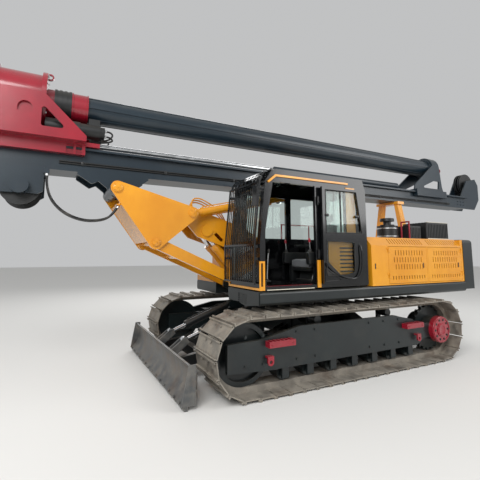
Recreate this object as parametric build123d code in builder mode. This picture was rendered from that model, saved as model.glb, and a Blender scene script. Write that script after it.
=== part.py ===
"""Crawler rotary pile drilling rig on an excavator chassis, with its mast folded level.

Millimetres. +X is forward, +Y is the machine's left and +Z is up. The origin is on the
ground under the slew axis. Every piece is built where it stands at rest.
"""
import os
from math import atan2, cos, degrees, hypot, pi, sin, sqrt, tan

from build123d import *

os.makedirs("parts", exist_ok=True)

# Clearances
SEAT = 0.3  # between faces of two bodies that run on each other
FREE = 6.0  # between bodies that pass each other
PIN_FIT = 0.05  # radial, a pin in its bore
GLASS_FIT = 0.5  # round a pane in its frame

# Crawler tracks
GAUGE_Y = 1350.0  # middle of each track
SHOE_WIDTH = 700.0
IDLER_X = 1950.0
SPROCKET_X = -1850.0
BAND_INNER = 400.0  # radius of the chain's inner face round a wheel
BAND_THICK = 82.0
BAND_WIDTH = 220.0
SHOE_THICK = 14.0
GROUSER = 28.0
SHOE_SUNK = 4.0  # the shoe's root sits this deep on the chain's rounded outside
SHOE_COUNT = 47
SHOE_REACH = BAND_INNER + BAND_THICK - SHOE_SUNK
SHOE_PITCH = (2 * (IDLER_X - SPROCKET_X) + 2 * pi * SHOE_REACH) / SHOE_COUNT
SHOE_SHARE = 0.47  # half a shoe's length, as a share of the pitch
TRACK_RADIUS = SHOE_REACH + SHOE_THICK + GROUSER
AXLE_Z = TRACK_RADIUS

# Track frames
FRAME_IN = 1180.0
FRAME_OUT = 1560.0
FRAME_SKIN = 60.0
FRAME_TOP = 830.0
FRAME_LOW_TOP = 720.0
FRAME_BOTTOM = 310.0
FRAME_FRONT_X = 2230.0
FRAME_REAR_X = -1480.0
HUB_HALF = 80.0  # half width of the idler's hub
ROLLER_RADIUS = 90.0
ROLLER_XS = (-1180.0, -760.0, -340.0, 80.0, 500.0, 920.0, 1340.0)
CARRIER_RADIUS = 62.0
CARRIER_XS = (-780.0, 700.0)
COVER_RADIUS = 222.0
COVER_OUT = 1640.0
TIE_EYE_XS = (1640.0, -1270.0)
TIE_EYE_Z = 430.0

# Car body and slew ring
BODY_HALF_X = 660.0
BODY_HALF_Y = 700.0
BODY_BOTTOM = 470.0
BODY_TOP = 930.0
RING_RADIUS = 600.0
RING_BASE = 1000.0
RING_TOP = 1090.0

# Dozer blade
BLADE_HALF = 1545.0
BLADE_TOP = 500.0
BLADE_X = 2700.0
BLADE_PLATE = 25.0
EDGE_HEIGHT = 95.0
ARM_Y = 520.0
ARM_THICK = 90.0
ARM_PIVOT = (790.0, 500.0)
BLADE_EYE = (2370.0, 520.0)
BLADE_BASE = (1260.0, 930.0)
BLADE_CYL_Y = 350.0
BLADE_EYE_ROOM = 17.0  # radial play of the rod eye, a slotted eye that lets the blade float

# Deck
DECK_BOTTOM = RING_TOP + SEAT
DECK_TOP = 1300.0
DECK_HALF = 1450.0
DECK_REAR = -2980.0
DECK_FRONT = 1690.0
WELL_HALF = 470.0  # half width of the bay between the cab and the tank
WELL_FRONT = 1050.0
RAIL_ROUND = 45.0

# Cab
CAB_RIGHT = 500.0
CAB_REAR = -350.0
CAB_FRONT = 1690.0
CAB_FLOOR = DECK_TOP + 20.0
CAB_ROOF = 3040.0
CAB_LEAN = 90.0  # how far the front leans back at the top
CAB_KNEE = 1950.0  # where the lean starts
CAB_WALL = 50.0
CAB_BELT = 2050.0
CAB_CROWN = 2880.0  # where the roof starts
SIDE_PANE_X = (110.0, 560.0)
DOOR_REAR = 712.0
DOOR_FRONT = 1612.0
DOOR_SILL = 1370.0
DOOR_HEAD = 2850.0
DOOR_THICK = 44.0
DOOR_GAP = 6.0
HINGE_RADIUS = 14.0
HINGE_X = 675.0
HINGE_ZS = (1790.0, 2600.0)
HINGE_Y = DECK_HALF + HINGE_RADIUS + 1.0

# Hood and counterweight
HOOD_FRONT = -440.0
HOOD_JOINTS = (-820.0, -1860.0, -2900.0)
HOOD_SIDE = 1450.0
HOOD_HINGE_Y = HOOD_SIDE + 10.0
HOOD_SHOULDER = 1965.0
HOOD_TOP = 2110.0
HOOD_CHAMFER = 130.0
HOOD_SKIN = 40.0
WEIGHT_REAR = -3540.0
WEIGHT_BOTTOM = 1150.0

# Linkage pins, as X and Z
BOOM_FOOT = (750.0, 1760.0)
LINK_FOOT = (1320.0, 1300.0)
BOOM_HEAD = (2300.0, 2450.0)
LINK_HEAD = (BOOM_HEAD[0] + LINK_FOOT[0] - BOOM_FOOT[0], BOOM_HEAD[1] + LINK_FOOT[1] - BOOM_FOOT[1])
MAST_PIVOT = (3440.0, 2760.0)
LUFF_FOOT = (1150.0, 1230.0)
LUFF_EYE = (1990.0, 2200.0)
MAST_EYE = (200.0, 2920.0)

# Linkage widths
BOOM_HALF = 250.0
BOOM_PLATE = 40.0
LUG_PLATE = 40.0  # the deck's lugs each side of the boom
LINK_IN = 335.0
LINK_OUT = 415.0
FRAME_PLATE_IN = 424.0
FRAME_PLATE_OUT = 460.0
PIN_RADIUS = 55.0
LUFF_Y = 125.0
AUX_DRUM = (-25.0, 1600.0)
MAST_CYL_Y = 350.0

# Mast
MAST_HALF = 230.0
MAST_FRONT = 5450.0
MAST_REAR = -5300.0
MAST_BOTTOM = 2975.0
MAST_REAR_BOTTOM = 3020.0
MAST_TAPER = (-900.0, 500.0)  # where the underside slopes, as X
MAST_WALL = 16.0
FLANGE_HALF = 300.0
FLANGE_THICK = 30.0
FLANGE_TOP = 3310.0
HEAD_REAR = -6000.0
SHEAVE_X = -5640.0
SHEAVE_RADIUS = 300.0
WINCH_X = 4640.0
WINCH_Z = 2700.0
WINCH_PLATE = 270.0  # half length of the plates that carry the main winch
HOSE_RADIUS = 16.0
HOSE_YS = (265.0, 305.0, 345.0, 385.0)
HOSE_START = (4336.0, 2880.0)
HOSE_BEND = (3475.0, 2380.0)
HOSE_END = (3410.0, 2500.0)
REST_X = -2700.0

# Kelly bar and power head
KELLY_Z = 3975.0
KELLY_RADIUS = 186.0
KEY_HEIGHT = 12.0
KELLY_WALL = 14.0
KELLY_REAR = -4250.0
KELLY_FRONT = 5350.0
KELLY_STEP = 200.0  # each inner section stands out this much further
STUB_END = 6000.0
STUB_SIZE = 200.0
HEAD_FRONT = 5060.0
HEAD_BACK = 3880.0
HOUSING_BACK = 4440.0
HOUSING_RADIUS = 430.0
SLEEVE_BORE = KELLY_RADIUS + KEY_HEIGHT + FREE
SLEEVE_TUBE = SLEEVE_BORE + 12.0
GUSSET_PLATE = 36.0
MOTOR_Y = 240.0
MOTOR_Z = 3575.0
CROWD_Z = 3440.0
CROWD_FRONT = 500.0
CROWD_REAR = -2950.0
GUIDE_FRONT = -3250.0
GUIDE_REAR = -4350.0


def lane(side, near, far):
    """A pair of Y values on the left (1) or right (-1), lowest first."""
    return tuple(sorted((side * near, side * far)))


def slab(x, y, z, mode=Mode.ADD):
    """A box between three pairs of coordinates."""
    with Locations(tuple((low + high) / 2 for low, high in (x, y, z))):
        Box(x[1] - x[0], y[1] - y[0], z[1] - z[0], mode=mode)


def bar_x(y, z, x, radius, mode=Mode.ADD):
    """A cylinder along X between a pair of X values."""
    with Locations(Location(((x[0] + x[1]) / 2, y, z), (0, 90, 0))):
        Cylinder(radius, x[1] - x[0], mode=mode)


def bar_y(x, z, y, radius, mode=Mode.ADD):
    """A cylinder along Y between a pair of Y values."""
    with Locations(Location((x, (y[0] + y[1]) / 2, z), (90, 0, 0))):
        Cylinder(radius, y[1] - y[0], mode=mode)


def bar_z(x, y, z, radius, mode=Mode.ADD):
    """A cylinder along Z between a pair of Z values."""
    with Locations((x, y, (z[0] + z[1]) / 2)):
        Cylinder(radius, z[1] - z[0], mode=mode)


def outlined(plane, points, depth, corner, mode):
    """A plate whose outline lies in a plane, with its corners rounded."""
    with BuildSketch(plane) as face:
        with BuildLine():
            Polyline(*points, close=True)
        make_face()
        if corner:
            fillet(face.vertices(), corner)
    extrude(to_extrude=face.sketch, amount=depth, mode=mode)


def side_plate(points, y, corner=0.0, mode=Mode.ADD):
    """A plate with an outline of X and Z, between a pair of Y values."""
    outlined(Plane.XZ.offset(-y[1]), points, y[1] - y[0], corner, mode)


def cross_plate(points, x, corner=0.0, mode=Mode.ADD):
    """A plate with an outline of Y and Z, between a pair of X values."""
    outlined(Plane.YZ.offset(x[0]), points, x[1] - x[0], corner, mode)


def flat_plate(points, z, corner=0.0, mode=Mode.ADD):
    """A plate with an outline of X and Y, between a pair of Z values."""
    outlined(Plane.XY.offset(z[0]), points, z[1] - z[0], corner, mode)


def along(start, end, y):
    """The plane at a start point in XZ, at a Y, whose normal points to an end point."""
    return Plane(
        origin=(start[0], y, start[1]),
        x_dir=(0, 1, 0),
        z_dir=(end[0] - start[0], 0, end[1] - start[1]),
    )


def rod_along(start, end, y, span, radius, mode=Mode.ADD):
    """A cylinder on the line from start to end, between a pair of distances from start."""
    with Locations(along(start, end, y).offset(span[0]).location):
        Cylinder(radius, span[1] - span[0], align=(Align.CENTER, Align.CENTER, Align.MIN), mode=mode)


def distance(start, end):
    return hypot(end[0] - start[0], end[1] - start[1])


def track_place(travel):
    """X, Z and heading of a shoe, at a distance along the loop.

    Round the wheels a flat shoe sits deeper, so that its corners stay on the track's radius.
    """
    run = IDLER_X - SPROCKET_X
    bend = pi * SHOE_REACH
    if travel < run:
        return SPROCKET_X + travel, AXLE_Z + SHOE_REACH, 0.0
    travel -= run
    deep = sqrt(TRACK_RADIUS**2 - (SHOE_SHARE * SHOE_PITCH) ** 2) - SHOE_THICK - GROUSER
    if travel < bend:
        turn = travel / SHOE_REACH
        return IDLER_X + deep * sin(turn), AXLE_Z + deep * cos(turn), -degrees(turn)
    travel -= bend
    if travel < run:
        return IDLER_X - travel, AXLE_Z - SHOE_REACH, -180.0
    turn = (travel - run) / SHOE_REACH
    return SPROCKET_X - deep * sin(turn), AXLE_Z - deep * cos(turn), -180.0 - degrees(turn)


def shoe_profile():
    """Section of one shoe along the chain: a plate with a bar at each edge."""
    half = SHOE_SHARE * SHOE_PITCH
    edge_bar = 18.0
    top = SHOE_THICK + GROUSER
    return [
        (-half, 0),
        (-half, top),
        (-half + edge_bar, top),
        (-half + edge_bar, SHOE_THICK),
        (half - edge_bar, SHOE_THICK),
        (half - edge_bar, top),
        (half, top),
        (half, 0),
    ]


def make_tracks():
    """Each track is one closed loop: the chain's band with its shoes."""
    middle = ((IDLER_X + SPROCKET_X) / 2, AXLE_Z)
    for name, side in (("left", 1), ("right", -1)):
        centre = side * GAUGE_Y
        places = [track_place((number + 0.5) * SHOE_PITCH) for number in range(SHOE_COUNT)]
        with BuildSketch() as shoe:
            with BuildLine():
                Polyline(*shoe_profile(), close=True)
            make_face()
        with BuildSketch(Plane.XZ.offset(-centre)) as shoes:
            with Locations(*[Location((x, z), heading) for x, z, heading in places]):
                add(shoe.sketch)
        with BuildSketch(Plane.XZ.offset(-centre)) as band:
            with Locations(middle):
                SlotCenterToCenter(IDLER_X - SPROCKET_X, 2 * (BAND_INNER + BAND_THICK))
                SlotCenterToCenter(IDLER_X - SPROCKET_X, 2 * BAND_INNER, mode=Mode.SUBTRACT)
        with BuildPart() as track:
            extrude(to_extrude=band.sketch, amount=BAND_WIDTH / 2, both=True)
            extrude(to_extrude=shoes.sketch, amount=SHOE_WIDTH / 2, both=True)
        track.part.label = f"track_{name}"
        export_step(track.part, f"parts/track_{name}.step")


def make_track_frames():
    """Box frames inside the tracks, with forks round the idlers."""
    outline = [
        (FRAME_FRONT_X, 340),
        (FRAME_FRONT_X, 690),
        (1730, 705),
        (1120, FRAME_TOP),
        (-800, FRAME_TOP - 5),
        (-1400, 670),
        (FRAME_REAR_X, 640),
        (FRAME_REAR_X, 400),
        (-1300, FRAME_BOTTOM),
        (1560, FRAME_BOTTOM),
    ]
    with BuildPart() as frames:
        for side in (1, -1):
            side_plate(outline, lane(side, FRAME_OUT - FRAME_SKIN, FRAME_OUT))
            slab((-1300, 1420), lane(side, FRAME_IN, FRAME_OUT - FRAME_SKIN), (FRAME_BOTTOM, FRAME_LOW_TOP))
            slab((1420, FRAME_FRONT_X - 60), lane(side, FRAME_IN, FRAME_IN + FRAME_SKIN), (360, 680))
            for x in CARRIER_XS:
                slab((x - 45, x + 45), lane(side, GAUGE_Y - 140, GAUGE_Y - 110), (FRAME_LOW_TOP, 880))
            inner = (FRAME_IN + FRAME_SKIN, GAUGE_Y - HUB_HALF)
            outer = (GAUGE_Y + HUB_HALF, FRAME_OUT - FRAME_SKIN)
            for y in (inner, outer):
                slab((IDLER_X - 90, IDLER_X + 90), lane(side, *y), (430, 610))
    frames.part.label = "track_frames"
    export_step(frames.part, "parts/track_frames.step")


def make_rollers():
    """Bottom rollers on the chain, with the shaft blocks that hang them on the frame."""
    centre_z = AXLE_Z - BAND_INNER + ROLLER_RADIUS + SEAT
    with BuildPart() as rollers:
        for side in (1, -1):
            for x in ROLLER_XS:
                middle = side * GAUGE_Y
                bar_y(x, centre_z, (middle - 95, middle + 95), ROLLER_RADIUS)
                bar_y(x, centre_z, (middle - 165, middle + 165), 34)
                for end in (-1, 1):
                    face = middle + end * 150
                    slab((x - 55, x + 55), (face - 18, face + 18), (centre_z - 48, FRAME_BOTTOM))
            upper_z = AXLE_Z + BAND_INNER - CARRIER_RADIUS - SEAT
            for x in CARRIER_XS:
                middle = side * GAUGE_Y
                bar_y(x, upper_z, (middle - 80, middle + 80), CARRIER_RADIUS)
                bar_y(x, upper_z, lane(side, GAUGE_Y - 110, GAUGE_Y), 30)
    rollers.part.label = "track_rollers"
    export_step(rollers.part, "parts/track_rollers.step")


def make_track_wheels():
    """Front idlers with a thin web, rear sprockets and the final drives that carry them."""
    rim = BAND_INNER - SEAT
    teeth = 21
    root = BAND_INNER - 42
    with BuildPart() as wheels:
        for side in (1, -1):
            middle = side * GAUGE_Y
            bar_y(IDLER_X, AXLE_Z, (middle - 85, middle + 85), rim)
            for end in (-1, 1):
                face = middle + end * 55
                dish = lane(1, face - end * 25, face + end * 30)
                bar_y(IDLER_X, AXLE_Z, dish, rim - 60, mode=Mode.SUBTRACT)
            bar_y(IDLER_X, AXLE_Z, (middle - HUB_HALF, middle + HUB_HALF), 95)
            with BuildSketch(Plane.XZ.offset(-(middle + 30))) as wheel:
                with Locations((SPROCKET_X, AXLE_Z)):
                    Circle(root)
                    with PolarLocations(root - 4, teeth):
                        RectangleRounded(84, 44, 12)
                    Circle(200, mode=Mode.SUBTRACT)
            extrude(to_extrude=wheel.sketch, amount=60)
            bar_y(SPROCKET_X, AXLE_Z, lane(side, FRAME_IN - 20, GAUGE_Y + 200), 201)
            bar_y(SPROCKET_X, AXLE_Z, lane(side, FRAME_IN - 60, GAUGE_Y - 60), 245)
            slab((SPROCKET_X, FRAME_REAR_X), lane(side, FRAME_OUT - 60, FRAME_OUT - 10), (400, 640))
            slab((SPROCKET_X, -1300), lane(side, FRAME_IN, FRAME_IN + 60), (390, 650))
    wheels.part.label = "track_wheels"
    export_step(wheels.part, "parts/track_wheels.step")


def make_red_fittings():
    """On each track: two box steps, a tie-down eye below each and the drive's round cover."""
    step_xs = (1475, -1150)
    with BuildPart() as fittings:
        for side in (1, -1):
            bar_y(SPROCKET_X, AXLE_Z, lane(side, GAUGE_Y + 200, COVER_OUT), COVER_RADIUS)
        edges = fittings.edges().filter_by(GeomType.CIRCLE)
        fillet(edges.group_by(Axis.Y)[-1] + edges.group_by(Axis.Y)[0], 14)
        for side in (1, -1):
            for x in step_xs:
                slab((x - 205, x + 205), lane(side, FRAME_OUT, FRAME_OUT + 105), (612, 690))
                inner = lane(side, FRAME_OUT + 12, FRAME_OUT + 93)
                slab((x - 193, x + 193), inner, (624, 692), mode=Mode.SUBTRACT)
        for side in (1, -1):
            for x in step_xs:
                slab((x - 199, x + 199), lane(side, FRAME_OUT + 46, FRAME_OUT + 58), (612, 684))
        for side in (1, -1):
            for x in TIE_EYE_XS:
                plate = lane(side, FRAME_OUT + 48, FRAME_OUT + 72)
                arm = lane(side, FRAME_OUT, FRAME_OUT + 72)
                slab((x - 45, x + 45), arm, (TIE_EYE_Z + 50, TIE_EYE_Z + 74))
                slab((x - 45, x + 45), plate, (TIE_EYE_Z, TIE_EYE_Z + 60))
                bar_y(x, TIE_EYE_Z, plate, 45)
                bar_y(x, TIE_EYE_Z, plate, 22, mode=Mode.SUBTRACT)
    fittings.part.label = "red_fittings"
    export_step(fittings.part, "parts/red_fittings.step")


def make_car_body():
    """Box centre with four sloped legs, and the seat of the slew ring."""
    leg = [
        (BODY_HALF_Y - 20, BODY_BOTTOM),
        (FRAME_IN, BODY_BOTTOM - 120),
        (FRAME_IN, 640),
        (BODY_HALF_Y - 20, 860),
    ]
    half = BODY_HALF_X
    with BuildPart() as body:
        slab((-half, half), (-BODY_HALF_Y, BODY_HALF_Y), (BODY_BOTTOM, BODY_TOP))
        for x in (-half + 20, half - 340):
            for side in (1, -1):
                points = [(side * y, z) for y, z in leg]
                cross_plate(points, (x, x + 320))
        bar_z(0, 0, (BODY_TOP, RING_BASE), RING_RADIUS + 20)
        for side in (1, -1):
            for offset in (-ARM_THICK / 2 - 34, ARM_THICK / 2 + 6):
                ear = lane(side, ARM_Y + offset, ARM_Y + offset + 28)
                side_plate(
                    [(half, 380), (ARM_PIVOT[0] + 60, 410), (ARM_PIVOT[0] + 60, 590), (half, 660)], ear
                )
            bar_y(*ARM_PIVOT, lane(side, ARM_Y - ARM_THICK / 2 - 34, ARM_Y + ARM_THICK / 2 + 34), 34)
            for offset in (-64, 36):
                ear = lane(side, BLADE_CYL_Y + offset, BLADE_CYL_Y + offset + 28)
                x, z = BLADE_BASE
                side_plate(
                    [(half, 700), (x + 40, z - 60), (x + 60, z + 20), (x + 10, z + 55), (half, 925)], ear
                )
            bar_y(*BLADE_BASE, lane(side, BLADE_CYL_Y - 64, BLADE_CYL_Y + 64), 30)
        bar_z(0, 0, (RING_BASE, RING_TOP), RING_RADIUS)
        bar_z(0, 0, (RING_BASE, RING_TOP), RING_RADIUS - 90, mode=Mode.SUBTRACT)
    body.part.label = "car_body"
    export_step(body.part, "parts/car_body.step")


def make_blade():
    """Dozer blade: curved mouldboard, cutting edge, two arms and their cross beam."""
    top = BLADE_X
    with BuildPart() as blade:
        with BuildSketch(Plane.XZ.offset(-BLADE_HALF)):
            with BuildLine():
                ThreePointArc((top + 70, EDGE_HEIGHT), (top - 45, 270), (top + 10, BLADE_TOP))
                Polyline((top + 10, BLADE_TOP), (top - BLADE_PLATE, BLADE_TOP))
                ThreePointArc(
                    (top - BLADE_PLATE, BLADE_TOP),
                    (top - 45 - BLADE_PLATE, 270),
                    (top + 70 - BLADE_PLATE, EDGE_HEIGHT),
                )
                Polyline((top + 70 - BLADE_PLATE, EDGE_HEIGHT), (top + 70, EDGE_HEIGHT))
            make_face()
        extrude(amount=2 * BLADE_HALF)
        for side in (1, -1):
            side_plate(
                [(top - 70, 60), (top + 100, 60), (top + 60, 300), (top + 20, 515), (top - 70, 515)],
                lane(side, BLADE_HALF - 20, BLADE_HALF),
            )
        slab((top - 180, top - 62), (-1300, 1300), (140, 330))
        ex, ez = BLADE_EYE
        for side in (1, -1):
            for offset in (-70, 42):
                side_plate(
                    [(ex - 55, ez - 20), (ex - 20, ez + 50), (ex + 30, ez + 50), (top - 75, 400),
                     (top - 75, 300), (top - 178, 300), (top - 178, 340)],
                    lane(side, BLADE_CYL_Y + offset, BLADE_CYL_Y + offset + 28),
                )
            bar_y(*BLADE_EYE, lane(side, BLADE_CYL_Y - 70, BLADE_CYL_Y + 70), 28)
        side_plate(
            [(top + 20, 0), (top + 62, 0), (top + 96, 60), (top + 70, EDGE_HEIGHT), (top + 20, EDGE_HEIGHT)],
            (-BLADE_HALF + 19, BLADE_HALF - 19),
        )
    blade.part.label = "blade"
    export_step(blade.part, "parts/blade.step")

    px, pz = ARM_PIVOT
    with BuildPart() as arms:
        for side in (1, -1):
            y = lane(side, ARM_Y - ARM_THICK / 2, ARM_Y + ARM_THICK / 2)
            side_plate(
                [
                    (px - 60, pz - 50),
                    (px + 20, pz - 85),
                    (top - 500, 170),
                    (top - 180, 140),
                    (top - 180, 330),
                    (top - 500, 380),
                    (px + 20, pz + 85),
                    (px - 60, pz + 50),
                ],
                y,
                corner=20,
            )
            bar_y(px, pz, y, 34 + PIN_FIT, mode=Mode.SUBTRACT)
        slab((top - 640, top - 520), (-ARM_Y, ARM_Y), (200, 350))
    arms.part.label = "blade_arms"
    export_step(arms.part, "parts/blade_arms.step")


def make_cylinder_pair(name, base, eye, y_centre, radii, gland, tail, bore_start, pin_radius):
    """Two equal hydraulic cylinders, left and right, as a barrel node and a rod node.

    radii are the barrel's and the rod's. gland is the barrel's end, tail where the rod starts and
    bore_start where the bore starts, all as lengths from the base pin. The eyes at both ends take
    a pin of pin_radius.
    """
    barrel_radius, rod_radius = radii
    eye_radius = pin_radius + 32
    length = distance(base, eye)
    half_eye = 33.0
    with BuildPart() as barrels:
        for side in (1, -1):
            y = side * y_centre
            bar_y(*base, (y - half_eye, y + half_eye), eye_radius)
            rod_along(base, eye, y, (eye_radius - 30, eye_radius + 40), half_eye - 2)
            rod_along(base, eye, y, (eye_radius + 28, gland), barrel_radius)
            rod_along(base, eye, y, (gland - 60, gland), barrel_radius + 10)
            rod_along(base, eye, y, (bore_start, gland), rod_radius + SEAT, mode=Mode.SUBTRACT)
            bar_y(*base, (y - half_eye, y + half_eye), pin_radius + PIN_FIT, mode=Mode.SUBTRACT)
    barrels.part.label = f"{name}_barrels"
    export_step(barrels.part, f"parts/{name}_barrels.step")

    with BuildPart() as rods:
        for side in (1, -1):
            y = side * y_centre
            bar_y(*eye, (y - half_eye, y + half_eye), eye_radius)
            rod_along(base, eye, y, (tail, length - eye_radius + 20), rod_radius)
    return rods


def make_blade_cylinders():
    length = distance(BLADE_BASE, BLADE_EYE)
    rods = make_cylinder_pair(
        "blade", BLADE_BASE, BLADE_EYE, BLADE_CYL_Y, (62, 36), length - 260, 290, 130, 30
    )
    with BuildPart() as finished:
        add(rods.part)
        for side in (1, -1):
            y = side * BLADE_CYL_Y
            bar_y(*BLADE_EYE, (y - 40, y + 40), 28 + BLADE_EYE_ROOM, mode=Mode.SUBTRACT)
    finished.part.label = "blade_rods"
    export_step(finished.part, "parts/blade_rods.step")


def make_deck():
    """Slewing platform: side rails, the bay for the linkage and the lugs that carry it."""
    well = WELL_HALF
    with BuildPart() as deck:
        flat_plate(
            [
                (DECK_REAR, -DECK_HALF),
                (1500, -DECK_HALF),
                (1500, -well),
                (WELL_FRONT, -well),
                (WELL_FRONT, well),
                (DECK_FRONT, well),
                (DECK_FRONT, DECK_HALF),
                (DECK_REAR, DECK_HALF),
            ],
            (DECK_BOTTOM + 20, DECK_TOP),
        )
        edges = deck.edges().filter_by(Axis.X).filter_by(lambda e: abs(e.center().Y) > DECK_HALF - 1)
        fillet(edges, RAIL_ROUND)
        bar_z(0, 0, (DECK_BOTTOM, DECK_BOTTOM + 40), RING_RADIUS - 40)
        box_front = DECK_FRONT + 10
        side = DECK_HALF - 20
        step_box = [(well, 1170), (1050, 1070), (side, 1120), (side, DECK_TOP), (well, DECK_TOP)]
        cross_plate(step_box, (1460, box_front))
        for z in range(1106, 1240, 30):
            slab((box_front - 12, box_front + 1), (820, 1090), (z, z + 16), mode=Mode.SUBTRACT)
        for x in (CAB_REAR + 150, CAB_FRONT - 150):
            for y in (CAB_RIGHT + 120, DECK_HALF - 120):
                bar_z(x, y, (DECK_TOP, CAB_FLOOR), 55)
    deck.part.label = "deck"
    export_step(deck.part, "parts/deck.step")

    inner = BOOM_HALF + FREE
    with BuildPart() as lugs:
        for side in (1, -1):
            side_plate(
                [
                    (300, DECK_TOP),
                    (560, 1780),
                    (650, 1880),
                    (850, 1880),
                    (1100, 1500),
                    (1430, 1400),
                    (1450, 1250),
                    (1330, 1180),
                    (WELL_FRONT, DECK_BOTTOM + 20),
                    (WELL_FRONT, DECK_TOP),
                ],
                lane(side, inner, inner + LUG_PLATE),
                corner=18,
            )
        outer = inner + LUG_PLATE
        bar_y(*BOOM_FOOT, (-outer - 18, outer + 18), PIN_RADIUS)
        bar_y(*LUFF_FOOT, (-inner, inner), 45)
        slab((0, WELL_FRONT), (-outer, outer), (1000, DECK_TOP), mode=Mode.SUBTRACT)
        for side in (1, -1):
            bar_y(*LINK_FOOT, lane(side, inner, LINK_OUT + 22), 45)
            bar_y(*LINK_FOOT, lane(side, LINK_OUT + 6, LINK_OUT + 22), 75)
            bar_y(*LINK_FOOT, lane(side, outer, LINK_IN - 6), 75)
        for side in (1, -1):
            side_plate(
                [(-330, DECK_TOP), (280, DECK_TOP), (160, 1760), (-210, 1760)],
                lane(side, 330, 360),
            )
        slab((-330, 280), (-330, 330), (DECK_TOP, DECK_TOP + 25))
        bar_y(*AUX_DRUM, (-400, -360), 120)
    lugs.part.label = "boom_lugs"
    export_step(lugs.part, "parts/boom_lugs.step")


def cab_front_at(z):
    """X of the cab's front face at a height."""
    return CAB_FRONT - CAB_LEAN * max(0.0, z - CAB_KNEE) / (CAB_CROWN - 30 - CAB_KNEE)


def cab_outline(inset):
    """Side outline of the cab, moved inwards by inset."""
    return [
        (CAB_REAR + inset, CAB_FLOOR + inset),
        (CAB_FRONT - inset, CAB_FLOOR + inset),
        (CAB_FRONT - inset, CAB_KNEE),
        (CAB_FRONT - CAB_LEAN - inset, CAB_CROWN - 30),
        (CAB_FRONT - CAB_LEAN - 130 - inset / 2, CAB_ROOF - inset),
        (CAB_REAR + 60 + inset / 2, CAB_ROOF - inset),
        (CAB_REAR + inset, CAB_CROWN - 30),
    ]


def door_outline(gap):
    """Outline of the shut cab door, as X and Z, moved inwards by gap."""
    return [
        (DOOR_REAR + gap, DOOR_SILL + gap),
        (DOOR_FRONT - gap, DOOR_SILL + gap),
        (DOOR_FRONT - 12 - gap, 2150),
        (DOOR_FRONT - 142 - gap, DOOR_HEAD - gap),
        (DOOR_REAR + gap, DOOR_HEAD - gap),
    ]


def cab_solid():
    """The cab's hollow body with its window and door openings cut."""
    left = DECK_HALF
    wall = CAB_WALL
    with BuildPart() as cab:
        side_plate(cab_outline(0), (CAB_RIGHT, left), corner=40)
        side_plate(cab_outline(wall), (CAB_RIGHT + wall, left - wall), corner=20, mode=Mode.SUBTRACT)
        for z in ((1450, 1930), (2000, 2790)):
            slab((1300, CAB_FRONT + 50), (CAB_RIGHT + 90, left - 90), z, mode=Mode.SUBTRACT)
        slab((CAB_REAR - 50, 0), (CAB_RIGHT + 90, left - 90), (2080, 2790), mode=Mode.SUBTRACT)
        for x in ((CAB_REAR + 100, 520), (620, 1400)):
            slab(x, (CAB_RIGHT - 20, CAB_RIGHT + 90), (2080, 2790), mode=Mode.SUBTRACT)
        side_plate(door_outline(0), (left - 90, left + 20), mode=Mode.SUBTRACT)
        slab(SIDE_PANE_X, (left - 90, left + 20), (2080, 2790), mode=Mode.SUBTRACT)
    return cab.part


def make_cab():
    """The cab in three pieces: tub, window frame and roof."""
    whole = cab_solid()
    left = DECK_HALF
    pieces = (
        ("cab_tub", CAB_FLOOR - 50, CAB_BELT),
        ("cab_frame", CAB_BELT, CAB_CROWN),
        ("cab_roof", CAB_CROWN, CAB_ROOF + 50),
    )
    for name, low, high in pieces:
        with BuildPart() as piece:
            add(whole)
            slab((-1000, 2500), (0, 2000), (low, high), mode=Mode.INTERSECT)
        piece.part.label = name
        export_step(piece.part, f"parts/{name}.step")

    with BuildPart() as glass:
        thick = 6.0
        y = (CAB_RIGHT + 90 + GLASS_FIT, left - 90 - GLASS_FIT)
        z = (2080 + GLASS_FIT, 2790 - GLASS_FIT)
        slab((CAB_FRONT - 40, CAB_FRONT - 40 + thick), y, (1450 + GLASS_FIT, 1930 - GLASS_FIT))
        for low, high in ((CAB_REAR + 100, 520), (620, 1400)):
            x = (low + GLASS_FIT, high - GLASS_FIT)
            slab(x, (CAB_RIGHT + 20, CAB_RIGHT + 20 + thick), z)
        slab((CAB_REAR + 20, CAB_REAR + 20 + thick), y, z)
        pane = (SIDE_PANE_X[0] + GLASS_FIT, SIDE_PANE_X[1] - GLASS_FIT)
        slab(pane, (left - 30, left - 30 + thick), z)
        front = [(cab_front_at(z) - 30, z) for z in (2000 + GLASS_FIT, 2790 - GLASS_FIT)]
        outer = [(x + thick, z) for x, z in reversed(front)]
        side_plate(front + outer, y)
    glass.part.label = "cab_glass"
    export_step(glass.part, "parts/cab_glass.step")


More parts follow.
